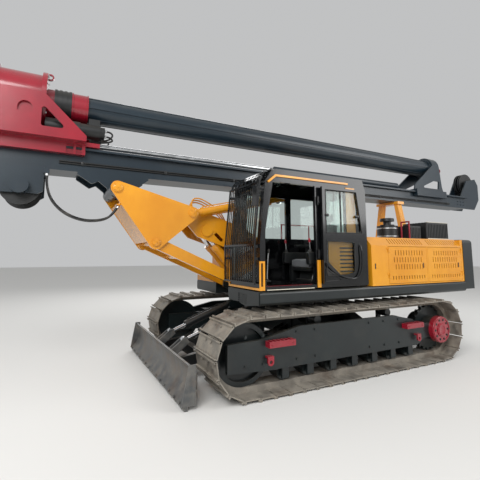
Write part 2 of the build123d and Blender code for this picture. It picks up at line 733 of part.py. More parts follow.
def make_cab_guard():
    """Bars in front of the windscreen, in a frame, and the curved guard over its top."""
    left = DECK_HALF
    y_low = CAB_RIGHT - 30
    y_high = left - 40
    bars = 16
    out = 55.0
    top = CAB_CROWN - 30
    lower = [(CAB_FRONT + out, 1400), (CAB_FRONT + out, CAB_KNEE)]
    upper = [(CAB_FRONT + out, CAB_KNEE), (CAB_FRONT + out - CAB_LEAN, top)]
    with BuildPart() as guard:
        for start, end in (lower, upper):
            for number in range(bars + 1):
                y = y_low + (y_high - y_low) * number / bars
                size = 22 if number in (0, bars) else 12
                side_plate(
                    [start, (start[0] + size, start[1]), (end[0] + size, end[1]), end],
                    (y - size / 2, y + size / 2),
                )
        for x, z in (
            (CAB_FRONT + out, 1400),
            (CAB_FRONT + out, 1930),
            (CAB_FRONT + out - CAB_LEAN, top - 20),
        ):
            slab((x, x + 26), (y_low - 11, y_high + 11), (z, z + 26))
        for y in (y_low, y_high):
            reach = (y - 11, y + 60) if y == y_low else (y - 11, y + 11)
            for z in (1730, 1900, 2700):
                x = cab_front_at(z)
                slab((x, x + out + 5), reach, (z, z + 40))
        start = CAB_FRONT + out - CAB_LEAN
        brow = [(start, top), (start - 18, top + 76), (start - 80, top + 152), (start - 205, top + 212)]
        under = [(x - 7, z - 7) for x, z in reversed(brow)]
        side_plate(brow + under, (y_low, y_high))
        for low, high in zip(brow[:-1], brow[1:]):
            middle = (low[0] + high[0]) / 2
            for y in range(int(y_low) + 60, int(y_high) - 90, 110):
                slab((middle - 14, middle + 14), (y, y + 70), (low[1] + 8, high[1] + 12), mode=Mode.SUBTRACT)
        for y in (CAB_RIGHT + 40, y_high - 60):
            slab((start - 230, start - 190), (y, y + 30), (CAB_ROOF, top + 204))
    guard.part.label = "cab_guard"
    export_step(guard.part, "parts/cab_guard.step")


def make_cab_trim():
    """Yellow pieces on the cab: roof gutter, front strip, post strips and louvred quarter."""
    left = DECK_HALF
    with BuildPart() as trim:
        side_plate(
            [(50, 2925), (1424, 2925), (1545, 2826), (1570, 2844), (1438, 2955), (50, 2955)],
            (left, left + 22),
        )
        slab((CAB_FRONT, CAB_FRONT + 14), (CAB_RIGHT, left), (CAB_FLOOR, 1352))
        slab((CAB_FRONT, CAB_FRONT + 14), (CAB_RIGHT - 5, CAB_RIGHT + 28), (CAB_FLOOR, 1700))
        slab((DOOR_FRONT + 8, CAB_FRONT + 14), (left, left + 14), (CAB_FLOOR, 1716))
        slab((1648, 1682), (left - 1, left + 15), (1375, 1690), mode=Mode.SUBTRACT)
        slab((HINGE_X - 35, HINGE_X + 25), (left, left + 14), (CAB_FLOOR + 5, 1728))
        slab((CAB_REAR + 60, 480), (left, left + 10), (1400, 2040))
        for z in range(1480, 1960, 60):
            slab((-120, 260), (left - 5, left + 20), (z, z + 24), mode=Mode.SUBTRACT)
        slab((-98, 92), (left, left + 10), (2050, 2880))
    trim.part.label = "cab_trim"
    export_step(trim.part, "parts/cab_trim.step")


def opened(points):
    """Points of the shut door, turned with it through half a circle round its hinge."""
    return [(2 * HINGE_X - x, z) for x, z in points]


def make_cab_door():
    """Cab door, folded right back against the cab's side, with its panes and hinges."""
    folded_in = 2 * HINGE_Y - DECK_HALF
    y = (folded_in, folded_in + DOOR_THICK)
    near = DOOR_REAR + 70
    windows = (
        [(near, 2140), (1514, 2150), (1412, 2800), (near, 2800)],
        [(near, 1500), (1150, 1500), (1340, 1535), (1345, 2000), (near, 2015)],
    )
    with BuildPart() as door:
        side_plate(opened(door_outline(DOOR_GAP)), y)
        for window in windows:
            side_plate(opened(window), y, corner=35, mode=Mode.SUBTRACT)
        slab((2 * HINGE_X - 1100, 2 * HINGE_X - 1088), (y[0] + 8, y[1] - 8), (2130, 2810))
        for z in HINGE_ZS:
            bar_z(HINGE_X, HINGE_Y, (z, z + 90), HINGE_RADIUS)
            slab((HINGE_X - 60, HINGE_X), (HINGE_Y - 5, folded_in), (z, z + 90))
            bar_z(HINGE_X, HINGE_Y, (z - 1, z + 91), 7 + PIN_FIT, mode=Mode.SUBTRACT)
    door.part.label = "cab_door"
    export_step(door.part, "parts/cab_door.step")

    with BuildPart() as panes:
        middle = (y[0] + y[1]) / 2
        for window in windows:
            side_plate(opened(window), (middle - 3, middle + 3), corner=35)
        slab((2 * HINGE_X - 1101, 2 * HINGE_X - 1087), y, (2100, 2840), mode=Mode.SUBTRACT)
    panes.part.label = "door_glass"
    export_step(panes.part, "parts/door_glass.step")

    with BuildPart() as fittings:
        for z in HINGE_ZS:
            bar_z(HINGE_X, HINGE_Y, (z - 42, z + 91), 7)
            bar_z(HINGE_X, HINGE_Y, (z - 42, z - 2), HINGE_RADIUS)
            slab((HINGE_X - 35, HINGE_X + 10), (DECK_HALF, HINGE_Y + 4), (z - 42, z - 2))
        arm_z = 2745
        post = (DECK_HALF - 25, DECK_HALF - 2)
        bend = CAB_FRONT + 78
        slab((cab_front_at(arm_z) + 2, bend + 20), post, (arm_z - 15, arm_z + 15))
        slab((bend, bend + 20), (post[0], DECK_HALF + 50), (arm_z - 15, arm_z + 15))
        slab((bend + 2, bend + 18), (DECK_HALF + 34, DECK_HALF + 50), (2700, arm_z))
        slab((bend + 6, bend + 36), (DECK_HALF - 10, DECK_HALF + 110), (2470, 2735))
        slab((1480, 1540), (CAB_RIGHT - 60, CAB_RIGHT), (2834, 2858))
        bar_x(CAB_RIGHT - 41, 2846, (1530, 1590), 32)
    fittings.part.label = "cab_fittings"
    export_step(fittings.part, "parts/cab_fittings.step")


def make_cab_inside():
    """Seat with its base, side consoles with levers, and the travel pedals."""
    floor = CAB_FLOOR + CAB_WALL
    y = (CAB_RIGHT + DECK_HALF) / 2
    with BuildPart() as seat:
        slab((150, 600), (y - 210, y + 210), (floor, floor + 230))
        slab((120, 680), (y - 260, y + 260), (floor + 230, floor + 380))
        side_plate(
            [
                (60, floor + 330),
                (200, floor + 330),
                (140, floor + 950),
                (20, floor + 950),
            ],
            (y - 240, y + 240),
            corner=30,
        )
        slab((20, 110), (y - 130, y + 130), (floor + 950, floor + 1130))
        for side in (1, -1):
            slab((150, 760), lane(1, y + side * 270, y + side * 370), (floor, floor + 480))
            bar_z(700, y + side * 320, (floor + 480, floor + 640), 14)
            bar_z(700, y + side * 320, (floor + 620, floor + 720), 24)
        slab((1300, 1480), (y - 200, y + 200), (floor, floor + 60))
        for side in (1, -1):
            bar_z(1340, y + side * 90, (floor + 60, floor + 520), 12)
    seat.part.label = "seat_and_consoles"
    export_step(seat.part, "parts/seat_and_consoles.step")


def hood_section(inset):
    """Cross section of the engine hood, as Y and Z, moved inwards by inset."""
    side = HOOD_SIDE - inset
    top = HOOD_TOP - inset
    shoulder = HOOD_SHOULDER
    flat = HOOD_SIDE - HOOD_CHAMFER - inset / 2
    return [
        (-side, DECK_TOP),
        (side, DECK_TOP),
        (side, shoulder),
        (flat, top),
        (-flat, top),
        (-side, shoulder),
    ]


DOOR_BAYS = (
    ("front", (HOOD_JOINTS[1], HOOD_JOINTS[0])),
    ("rear", (HOOD_JOINTS[2], HOOD_JOINTS[1])),
)


def hood_hinge_x(bay):
    """X of a hood door's hinge, at the bay's far edge from the joint between the doors."""
    if bay == "front":
        return HOOD_JOINTS[0] - 15 - FREE / 2
    return HOOD_JOINTS[2] + 15 + FREE / 2


def make_hood():
    """Engine hood: a skin with four door openings, and louvred doors in them."""
    with BuildPart() as hood:
        cross_plate(hood_section(0), (HOOD_JOINTS[2], HOOD_FRONT))
        inside = (HOOD_JOINTS[2] + HOOD_SKIN, HOOD_FRONT - HOOD_SKIN)
        cross_plate(hood_section(HOOD_SKIN), inside, mode=Mode.SUBTRACT)
        for start, end in ((HOOD_JOINTS[1], HOOD_JOINTS[0]), (HOOD_JOINTS[2], HOOD_JOINTS[1])):
            slab(
                (start + 15, end - 15),
                (HOOD_SIDE - HOOD_SKIN - 10, HOOD_SIDE + 10),
                (DECK_TOP + 20, HOOD_SHOULDER - 12),
                mode=Mode.SUBTRACT,
            )
        row = [start + 80 for start in HOOD_JOINTS[1:]]
        for start in row:
            for number in range(14):
                x = start + 65 * number
                height = (HOOD_SHOULDER + 25, HOOD_TOP - 25)
                for side in (1, -1):
                    slab((x, x + 22), lane(side, HOOD_SIDE - 115, HOOD_SIDE + 10), height, mode=Mode.SUBTRACT)
        for bay, _ in DOOR_BAYS:
            x = hood_hinge_x(bay)
            leaf = (x, HOOD_JOINTS[0] + 20) if bay == "front" else (HOOD_JOINTS[2], x)
            for height in (1420, 1850):
                bar_z(x, HOOD_HINGE_Y, (height + 50 + SEAT, height + 80), 9)
                slab(leaf, (HOOD_SIDE, HOOD_SIDE + 6), (height + 50 + SEAT, height + 80))
        slab((DECK_REAR, HOOD_JOINTS[2]), (-HOOD_SIDE + 20, HOOD_SIDE - 20), (DECK_TOP, HOOD_TOP - 10))
    hood.part.label = "hood"
    export_step(hood.part, "parts/hood.step")

    for bay, (start, end) in DOOR_BAYS:
        x = (start + 15 + FREE, end - 15 - FREE)
        z = (DECK_TOP + 20 + FREE, HOOD_SHOULDER - 12 - FREE)
        cut = (HOOD_SIDE - 40, HOOD_SIDE + 10)
        with BuildPart() as door:
            slab(x, (HOOD_SIDE - 30, HOOD_SIDE), z)
            for level, height in enumerate((1560, 1680, 1800)):
                for number in range(11):
                    slot = x[0] + 110 + 70 * number + 35 * (level % 2)
                    slab((slot, slot + 20), cut, (height, height + 85), mode=Mode.SUBTRACT)
            for number in range(13):
                slot = x[0] + 70 + 68 * number
                slab((slot, slot + 22), cut, (1390, 1450), mode=Mode.SUBTRACT)
            hinge_x = hood_hinge_x(bay)
            leaf = (hinge_x - 50, hinge_x) if bay == "front" else (hinge_x, hinge_x + 50)
            for height in (1420, 1850):
                bar_z(hinge_x, HOOD_HINGE_Y, (height, height + 50), 9)
                slab(leaf, (HOOD_SIDE, HOOD_SIDE + 6), (height, height + 50))
        door.part.label = f"hood_door_{bay}"
        export_step(door.part, f"parts/hood_door_{bay}.step")

    with BuildPart() as engine:
        slab((-2700, -1300), (-480, 480), (DECK_TOP, 1960))
    engine.part.label = "engine_block"
    export_step(engine.part, "parts/engine_block.step")

    with BuildPart() as weight:
        flat_plate(
            [
                (WEIGHT_REAR, -950),
                (WEIGHT_REAR + 260, -DECK_HALF + 10),
                (DECK_REAR, -DECK_HALF + 10),
                (DECK_REAR, DECK_HALF - 10),
                (WEIGHT_REAR + 260, DECK_HALF - 10),
                (WEIGHT_REAR, 950),
            ],
            (WEIGHT_BOTTOM, HOOD_TOP),
        )
        fillet(weight.edges().filter_by(Axis.Z).group_by(Axis.X)[0], 180)
        rim = weight.faces().sort_by(Axis.Z)[-1].edges()
        fillet(rim.filter_by(lambda e: e.center().X < DECK_REAR - 5), 60)
    weight.part.label = "counterweight"
    export_step(weight.part, "parts/counterweight.step")


def make_top_gear():
    """On the hood: air cleaner, two boxes, hand rails and the rest that holds the mast."""
    top = HOOD_TOP
    with BuildPart() as cleaner:
        bar_z(-1500, 900, (top, top + 250), 190)
        bar_z(-1500, 900, (top + 250, top + 275), 130)
        bar_z(-1500, 900, (top + 275, top + 385), 70)
        bar_z(-1500, 900, (top + 340, top + 400), 130)
        edges = cleaner.edges().filter_by(GeomType.CIRCLE)
        fillet(edges.group_by(Axis.Z)[-1], 20)
        slab((-2120, -1760), (700, 1180), (top, top + 250))
        slab((-2860, -2190), (700, 1250), (top, top + 330))
        fillet(cleaner.edges().filter_by(Axis.Z).filter_by(lambda e: e.center().X < -1755), 30)
        for y in range(720, 1240, 65):
            slab((-2860, -2190), (y, y + 18), (top + 318, top + 335), mode=Mode.SUBTRACT)
    cleaner.part.label = "air_cleaner"
    export_step(cleaner.part, "parts/air_cleaner.step")

    with BuildPart() as rails:
        for y in (1230, 1060):
            bar_z(-1700, y, (top, top + 330), 16)
        bar_y(-1700, top + 320, (1060, 1230), 14)
        for x in (-2100, -1300, -500):
            bar_z(x, -1250, (top, top + 420), 16)
        bar_x(-1250, top + 405, (-2100, -500), 14)
    rails.part.label = "hand_rails"
    export_step(rails.part, "parts/hand_rails.step")

    pad_top = MAST_REAR_BOTTOM - FREE
    with BuildPart() as rest:
        for side in (1, -1):
            cross_plate(
                [
                    (side * 420, top),
                    (side * 300, top),
                    (side * 170, pad_top - 60),
                    (side * 260, pad_top - 60),
                ],
                (REST_X - 70, REST_X + 70),
            )
        slab((REST_X - 100, REST_X + 100), (-300, 300), (pad_top - 60, pad_top))
    rest.part.label = "mast_rest"
    export_step(rest.part, "parts/mast_rest.step")


def make_right_side():
    """Fuel and oil tanks and the tool box along the right side, and the auxiliary winch."""
    with BuildPart() as tanks:
        slab((-440 + 8, 480), (-DECK_HALF, -520), (DECK_TOP, 2060))
        slab((500, 1180), (-DECK_HALF, -560), (DECK_TOP, 1960))
        fillet(tanks.edges().filter_by(Axis.Z), 50)
        bar_z(100, -1200, (2060, 2110), 70)
        bar_z(850, -1200, (1960, 2010), 70)
        slab((1200, 1500), (-DECK_HALF + 10, -560), (DECK_TOP, 1560))
    tanks.part.label = "tanks"
    export_step(tanks.part, "parts/tanks.step")

    with BuildPart() as drum:
        bar_y(*AUX_DRUM, (-330 + SEAT, 330 - SEAT), 60)
        bar_y(*AUX_DRUM, (-290, 290), 165)
        for y in (-300, 285):
            bar_y(*AUX_DRUM, (y, y + 15), 235)
    drum.part.label = "aux_drum"
    export_step(drum.part, "parts/aux_drum.step")


def make_boom():
    """Boom: two side plates under a top plate, with hubs at both ends and the luff boss."""
    outline = [
        (600, 1720),
        (640, 1900),
        (1350, 2290),
        (2230, 2560),
        (2400, 2520),
        (2400, 2370),
        (2150, 2100),
        (1700, 1950),
        (900, 1640),
        (680, 1640),
    ]
    hub = BOOM_HALF
    with BuildPart() as boom:
        for side in (1, -1):
            side_plate(outline, lane(side, hub - BOOM_PLATE, hub), corner=60)
        top = [(700, 1905), (1350, 2262), (2150, 2508), (2150, 2478), (1350, 2232), (700, 1875)]
        side_plate(top, (-hub + BOOM_PLATE, hub - BOOM_PLATE))
        for x, z in (BOOM_FOOT, BOOM_HEAD):
            bar_y(x, z, (-hub, hub), 105)
        for x, z in (BOOM_FOOT, BOOM_HEAD):
            bar_y(x, z, (-hub, hub), PIN_RADIUS + PIN_FIT, mode=Mode.SUBTRACT)
        for side in (1, -1):
            bar_y(*LUFF_EYE, lane(side, hub, hub + 26), 95)
        for side in (1, -1):
            slot = [(1863, 2142), (1814, 2175), (1676, 2050), (1731, 2019)]
            side_plate(slot, lane(side, hub - BOOM_PLATE - 5, hub + 5), corner=15, mode=Mode.SUBTRACT)
    boom.part.label = "boom"
    export_step(boom.part, "parts/boom.step")


def make_links():
    """Lower links: two box arms parallel to the boom, tied by a cross tube."""
    sx, sz = LINK_FOOT
    ex, ez = LINK_HEAD
    heading = atan2(ez - sz, ex - sx)
    across = (-sin(heading), cos(heading))
    depth = 82.0
    outline = [
        (sx - across[0] * depth, sz - across[1] * depth),
        (ex - across[0] * depth, ez - across[1] * depth),
        (ex + across[0] * depth, ez + across[1] * depth),
        (sx + across[0] * depth, sz + across[1] * depth),
    ]
    with BuildPart() as links:
        for side in (1, -1):
            y = lane(side, LINK_IN, LINK_OUT)
            side_plate(outline, y)
            for x, z in (LINK_FOOT, LINK_HEAD):
                bar_y(x, z, y, 95)
        tube_x = sx + 0.72 * (ex - sx)
        tube_z = sz + 0.72 * (ez - sz)
        bar_y(tube_x, tube_z, (-LINK_IN, LINK_IN), 55)
        for side in (1, -1):
            y = lane(side, LINK_IN, LINK_OUT)
            bar_y(*LINK_FOOT, y, 45 + PIN_FIT, mode=Mode.SUBTRACT)
            bar_y(*LINK_HEAD, y, 45 + PIN_FIT, mode=Mode.SUBTRACT)
    links.part.label = "lower_links"
    export_step(links.part, "parts/lower_links.step")


def make_triangle():
    """Triangle frame: two side plates and a front web, with the mast, link and boom pins."""
    ax, az = MAST_PIVOT
    bx, bz = LINK_HEAD
    cx, cz = BOOM_HEAD
    mast_round = 95.0
    link_round = 105.0
    corners = ((ax, az, mast_round), (bx, bz, link_round), (cx, cz, mast_round))
    reach = distance(LINK_HEAD, MAST_PIVOT)
    step = ((ax - bx) / reach, (az - bz) / reach)
    web_in = 26.0
    with BuildPart() as triangle:
        for side in (1, -1):
            y = lane(side, FRAME_PLATE_IN, FRAME_PLATE_OUT)
            with BuildSketch(Plane.XZ.offset(-y[1])) as face:
                for x, z, radius in corners:
                    with Locations((x, z)):
                        Circle(radius)
                make_hull()
            extrude(to_extrude=face.sketch, amount=y[1] - y[0])
        web = [
            (bx + step[0] * run + step[1] * off, bz + step[1] * run - step[0] * off)
            for run, off in (
                (75, link_round - 4),
                (reach - 190, mast_round - 4),
                (reach - 190, mast_round - web_in),
                (75, link_round - web_in),
            )
        ]
        side_plate(web, (-FRAME_PLATE_IN, FRAME_PLATE_IN))
        for x, z, radius in ((ax, az, PIN_RADIUS), (bx, bz, 45), (cx, cz, PIN_RADIUS)):
            bar_y(x, z, (-FRAME_PLATE_OUT - 14, FRAME_PLATE_OUT + 14), radius)
            for side in (1, -1):
                bar_y(x, z, lane(side, FRAME_PLATE_OUT, FRAME_PLATE_OUT + 14), radius + 22)
        for side in (1, -1):
            bar_y(cx, cz, lane(side, BOOM_HALF + FREE, MAST_CYL_Y - 39), 75)
        hx, hz = HOSE_END
        slab((hx - 55, hx + 30), (HOSE_YS[0] - 22, FRAME_PLATE_IN), (hz + 10, hz + 25))
        last_run = distance(HOSE_BEND, HOSE_END)
        for y in HOSE_YS:
            rod_along(HOSE_BEND, HOSE_END, y, (last_run, last_run + 50), HOSE_RADIUS + 3)
    triangle.part.label = "triangle_frame"
    export_step(triangle.part, "parts/triangle_frame.step")


def make_hoses():
    """Four hoses in a row that hang between the mast's underside and the triangle frame."""
    corners = [HOSE_START, (4336, 2630), (4150, 2380), (3870, 2270), (3600, 2290), HOSE_BEND, HOSE_END]
    runs = [distance(*pair) for pair in zip(corners[:-1], corners[1:])]
    radii = []
    for index in range(1, len(corners) - 1):
        before, corner, after = corners[index - 1 : index + 2]
        heading_in = atan2(corner[1] - before[1], corner[0] - before[0])
        heading_out = atan2(after[1] - corner[1], after[0] - corner[0])
        turn = abs((heading_out - heading_in + pi) % (2 * pi) - pi)
        radii.append(0.45 * min(runs[index - 1 : index + 1]) / tan(turn / 2))
    print("hose runs", [round(run) for run in runs], "bend radii", [round(radius) for radius in radii])
    with BuildPart() as hoses:
        for y in HOSE_YS:
            with BuildLine() as path:
                FilletPolyline(*[(x, y, z) for x, z in corners], radius=radii)
            with BuildSketch(Plane(origin=(corners[0][0], y, corners[0][1]), z_dir=(0, 0, -1))) as section:
                Circle(HOSE_RADIUS)
            sweep(sections=section.sketch, path=path.line)
    length = sum(edge.length for edge in path.edges())
    solid = len(HOSE_YS) * pi * HOSE_RADIUS**2 * length
    print("hose length", round(length), "volume share", hoses.part.volume / solid)
    hoses.part.label = "mast_hoses"
    export_step(hoses.part, "parts/mast_hoses.step")


def make_luff_cylinders():
    rods = make_cylinder_pair("luff", LUFF_FOOT, LUFF_EYE, LUFF_Y, (75, 45), 1000, 420, 400, 45)
    with BuildPart() as finished:
        add(rods.part)
        for side in (1, -1):
            bar_y(*LUFF_EYE, lane(side, LUFF_Y + 30, BOOM_HALF - BOOM_PLATE - FREE), 45)
    finished.part.label = "luff_rods"
    export_step(finished.part, "parts/luff_rods.step")


def make_mast_cylinders():
    length = distance(BOOM_HEAD, MAST_EYE)
    rods = make_cylinder_pair(
        "mast", BOOM_HEAD, MAST_EYE, MAST_CYL_Y, (64, 44), length - 190, 140, 120, PIN_RADIUS
    )
    with BuildPart() as finished:
        add(rods.part)
        for side in (1, -1):
            bar_y(*MAST_EYE, lane(side, MAST_HALF + FREE, MAST_CYL_Y), 50)
    finished.part.label = "mast_rods"
    export_step(finished.part, "parts/mast_rods.step")


def mast_bottom_at(x):
    """Z of the mast's underside between its rear part and its front part, at an X."""
    start, end = MAST_TAPER
    share = (x - start) / (end - start)
    return MAST_REAR_BOTTOM + share * (MAST_BOTTOM - MAST_REAR_BOTTOM)


def make_mast():
    """Mast: a long box in two bolted sections with wide rail flanges on top, and the brackets under it."""
    def profile(inset):
        return [
            (MAST_REAR + inset, MAST_REAR_BOTTOM + inset),
            (MAST_TAPER[0], MAST_REAR_BOTTOM + inset),
            (MAST_TAPER[1], MAST_BOTTOM + inset),
            (MAST_FRONT - inset, MAST_BOTTOM + inset),
            (MAST_FRONT - inset, FLANGE_TOP - FLANGE_THICK),
            (MAST_REAR + inset, FLANGE_TOP - FLANGE_THICK),
        ]

    with BuildPart() as mast:
        side_plate(profile(0), (-MAST_HALF, MAST_HALF))
        inner = MAST_HALF - MAST_WALL
        side_plate(profile(MAST_WALL), (-inner, inner), mode=Mode.SUBTRACT)
        slab((MAST_REAR, MAST_FRONT), (-FLANGE_HALF, FLANGE_HALF), (FLANGE_TOP - FLANGE_THICK, FLANGE_TOP))
        for x in (CROWD_REAR + 60, CROWD_FRONT - 130):
            slab((x, x + 70), (-55, 55), (FLANGE_TOP, CROWD_Z - 70))
        split(bisect_by=Plane.YZ.offset(MAST_TAPER[0]), keep=Keep.BOTH)
    mast.part.label = "mast"
    export_step(mast.part, "parts/mast.step")

    ax, az = MAST_PIVOT
    ex, ez = MAST_EYE
    ear_y = (MAST_HALF - 40, MAST_HALF)
    with BuildPart() as bracket:
        for side in (1, -1):
            side_plate(
                [
                    (ax - 520, MAST_BOTTOM),
                    (ax - 130, az - 80),
                    (ax + 40, az - 105),
                    (ax + 125, az + 20),
                    (3676, 2867),
                    (3768, 2821),
                    (4010, MAST_BOTTOM),
                ],
                lane(side, *ear_y),
                corner=20,
            )
            ear = [(ex - 160, mast_bottom_at(ex - 160)), (ex - 90, ez - 62), (ex + 90, ez - 62)]
            side_plate(ear + [(ex + 160, mast_bottom_at(ex + 160))], lane(side, *ear_y), corner=15)
        hub = FRAME_PLATE_IN - FREE
        bar_y(ax, az, (-hub, hub), 100)
        bar_y(ax, az, (-hub, hub), PIN_RADIUS + PIN_FIT, mode=Mode.SUBTRACT)
        long = WINCH_PLATE
        for side in (1, -1):
            side_plate(
                [
                    (WINCH_X - long, MAST_BOTTOM),
                    (WINCH_X - long, WINCH_Z - 55),
                    (WINCH_X - long + 60, WINCH_Z - 95),
                    (WINCH_X + long - 60, WINCH_Z - 95),
                    (WINCH_X + long, WINCH_Z - 55),
                    (WINCH_X + long, MAST_BOTTOM),
                ],
                lane(side, 300, 330),
            )
        slab((WINCH_X - long, WINCH_X + long), (-330, 330), (MAST_BOTTOM - 24, MAST_BOTTOM))
        bar_y(WINCH_X, WINCH_Z, (330, 430), 110)
        x, z = HOSE_START
        slab((x - 30, WINCH_X - long + 5), (HOSE_YS[0] - 24, HOSE_YS[-1] + 24), (z, z + 60))
    bracket.part.label = "mast_brackets"
    export_step(bracket.part, "parts/mast_brackets.step")

    with BuildPart() as crowd:
        bar_x(0, CROWD_Z, (CROWD_REAR, CROWD_FRONT), 70)
        bar_x(0, CROWD_Z, (CROWD_REAR + 60, CROWD_FRONT), 40 + SEAT, mode=Mode.SUBTRACT)
    crowd.part.label = "crowd_barrel"
    export_step(crowd.part, "parts/crowd_barrel.step")


def make_mast_head():
    """Frame at the mast's far end with the rope sheaves."""
    with BuildPart() as head:
        for side in (1, -1):
            side_plate(
                [
                    (MAST_REAR + 100, FLANGE_TOP),
                    (MAST_REAR, FLANGE_TOP),
                    (MAST_REAR, MAST_REAR_BOTTOM),
                    (HEAD_REAR + 220, MAST_REAR_BOTTOM),
                    (HEAD_REAR, 3300),
                    (HEAD_REAR, 3700),
                    (HEAD_REAR + 120, 3860),
                    (SHEAVE_X + 150, 3780),
                ],
                lane(side, 150, 180),
            )
        slab((MAST_REAR - 30, MAST_REAR), (-150, 150), (MAST_REAR_BOTTOM, FLANGE_TOP))
        bar_y(SHEAVE_X, KELLY_Z - SHEAVE_RADIUS + 20, (-150, 150), 50)
    head.part.label = "mast_head"
    export_step(head.part, "parts/mast_head.step")

    centre = (SHEAVE_X, KELLY_Z - SHEAVE_RADIUS + 20)
    with BuildPart() as sheaves:
        for y in (-70, 40):
            middle = y + 15
            bar_y(*centre, (middle - 28, middle + 28), SHEAVE_RADIUS)
            with BuildSketch(Plane.XZ.offset(-middle)) as groove:
                with Locations(centre):
                    Circle(SHEAVE_RADIUS + 5)
                    Circle(SHEAVE_RADIUS - 24, mode=Mode.SUBTRACT)
            extrude(to_extrude=groove.sketch, amount=11, both=True, mode=Mode.SUBTRACT)
            bar_y(*centre, (middle - 28, middle + 28), 50 + PIN_FIT, mode=Mode.SUBTRACT)
    sheaves.part.label = "head_sheaves"
    export_step(sheaves.part, "parts/head_sheaves.step")


def make_main_winch():
    """Main winch under the front of the mast: bracket plates, drum and flanges."""
    with BuildPart() as drum:
        bar_y(WINCH_X, WINCH_Z, (-300 + SEAT, 300 - SEAT), 60)
        bar_y(WINCH_X, WINCH_Z, (-262, 262), 150)
        for y in (-276, 262):
            bar_y(WINCH_X, WINCH_Z, (y, y + 14), 240)
    drum.part.label = "main_drum"
    export_step(drum.part, "parts/main_drum.step")


def rail_carriage(x_low, x_high, split):
    """Shoe that rides on the mast's flanges: pads on top, cheeks outside and claws below.

    A split carriage leaves a tunnel in its middle for the crowd cylinder.
    """
    top = FLANGE_TOP + SEAT
    out = FLANGE_HALF + FREE
    with BuildPart() as carriage:
        if split:
            for side in (1, -1):
                slab((x_low, x_high), lane(side, 90, out + 30), (top, top + 50))
        else:
            slab((x_low, x_high), (-out - 30, out + 30), (top, top + 80))
        for side in (1, -1):
            slab((x_low, x_high), lane(side, out, out + 30), (3200, top + 20))
            claw = lane(side, MAST_HALF + FREE + 4, out + 2)
            slab((x_low, x_high), claw, (3200, FLANGE_TOP - FLANGE_THICK - FREE))
    return carriage.part


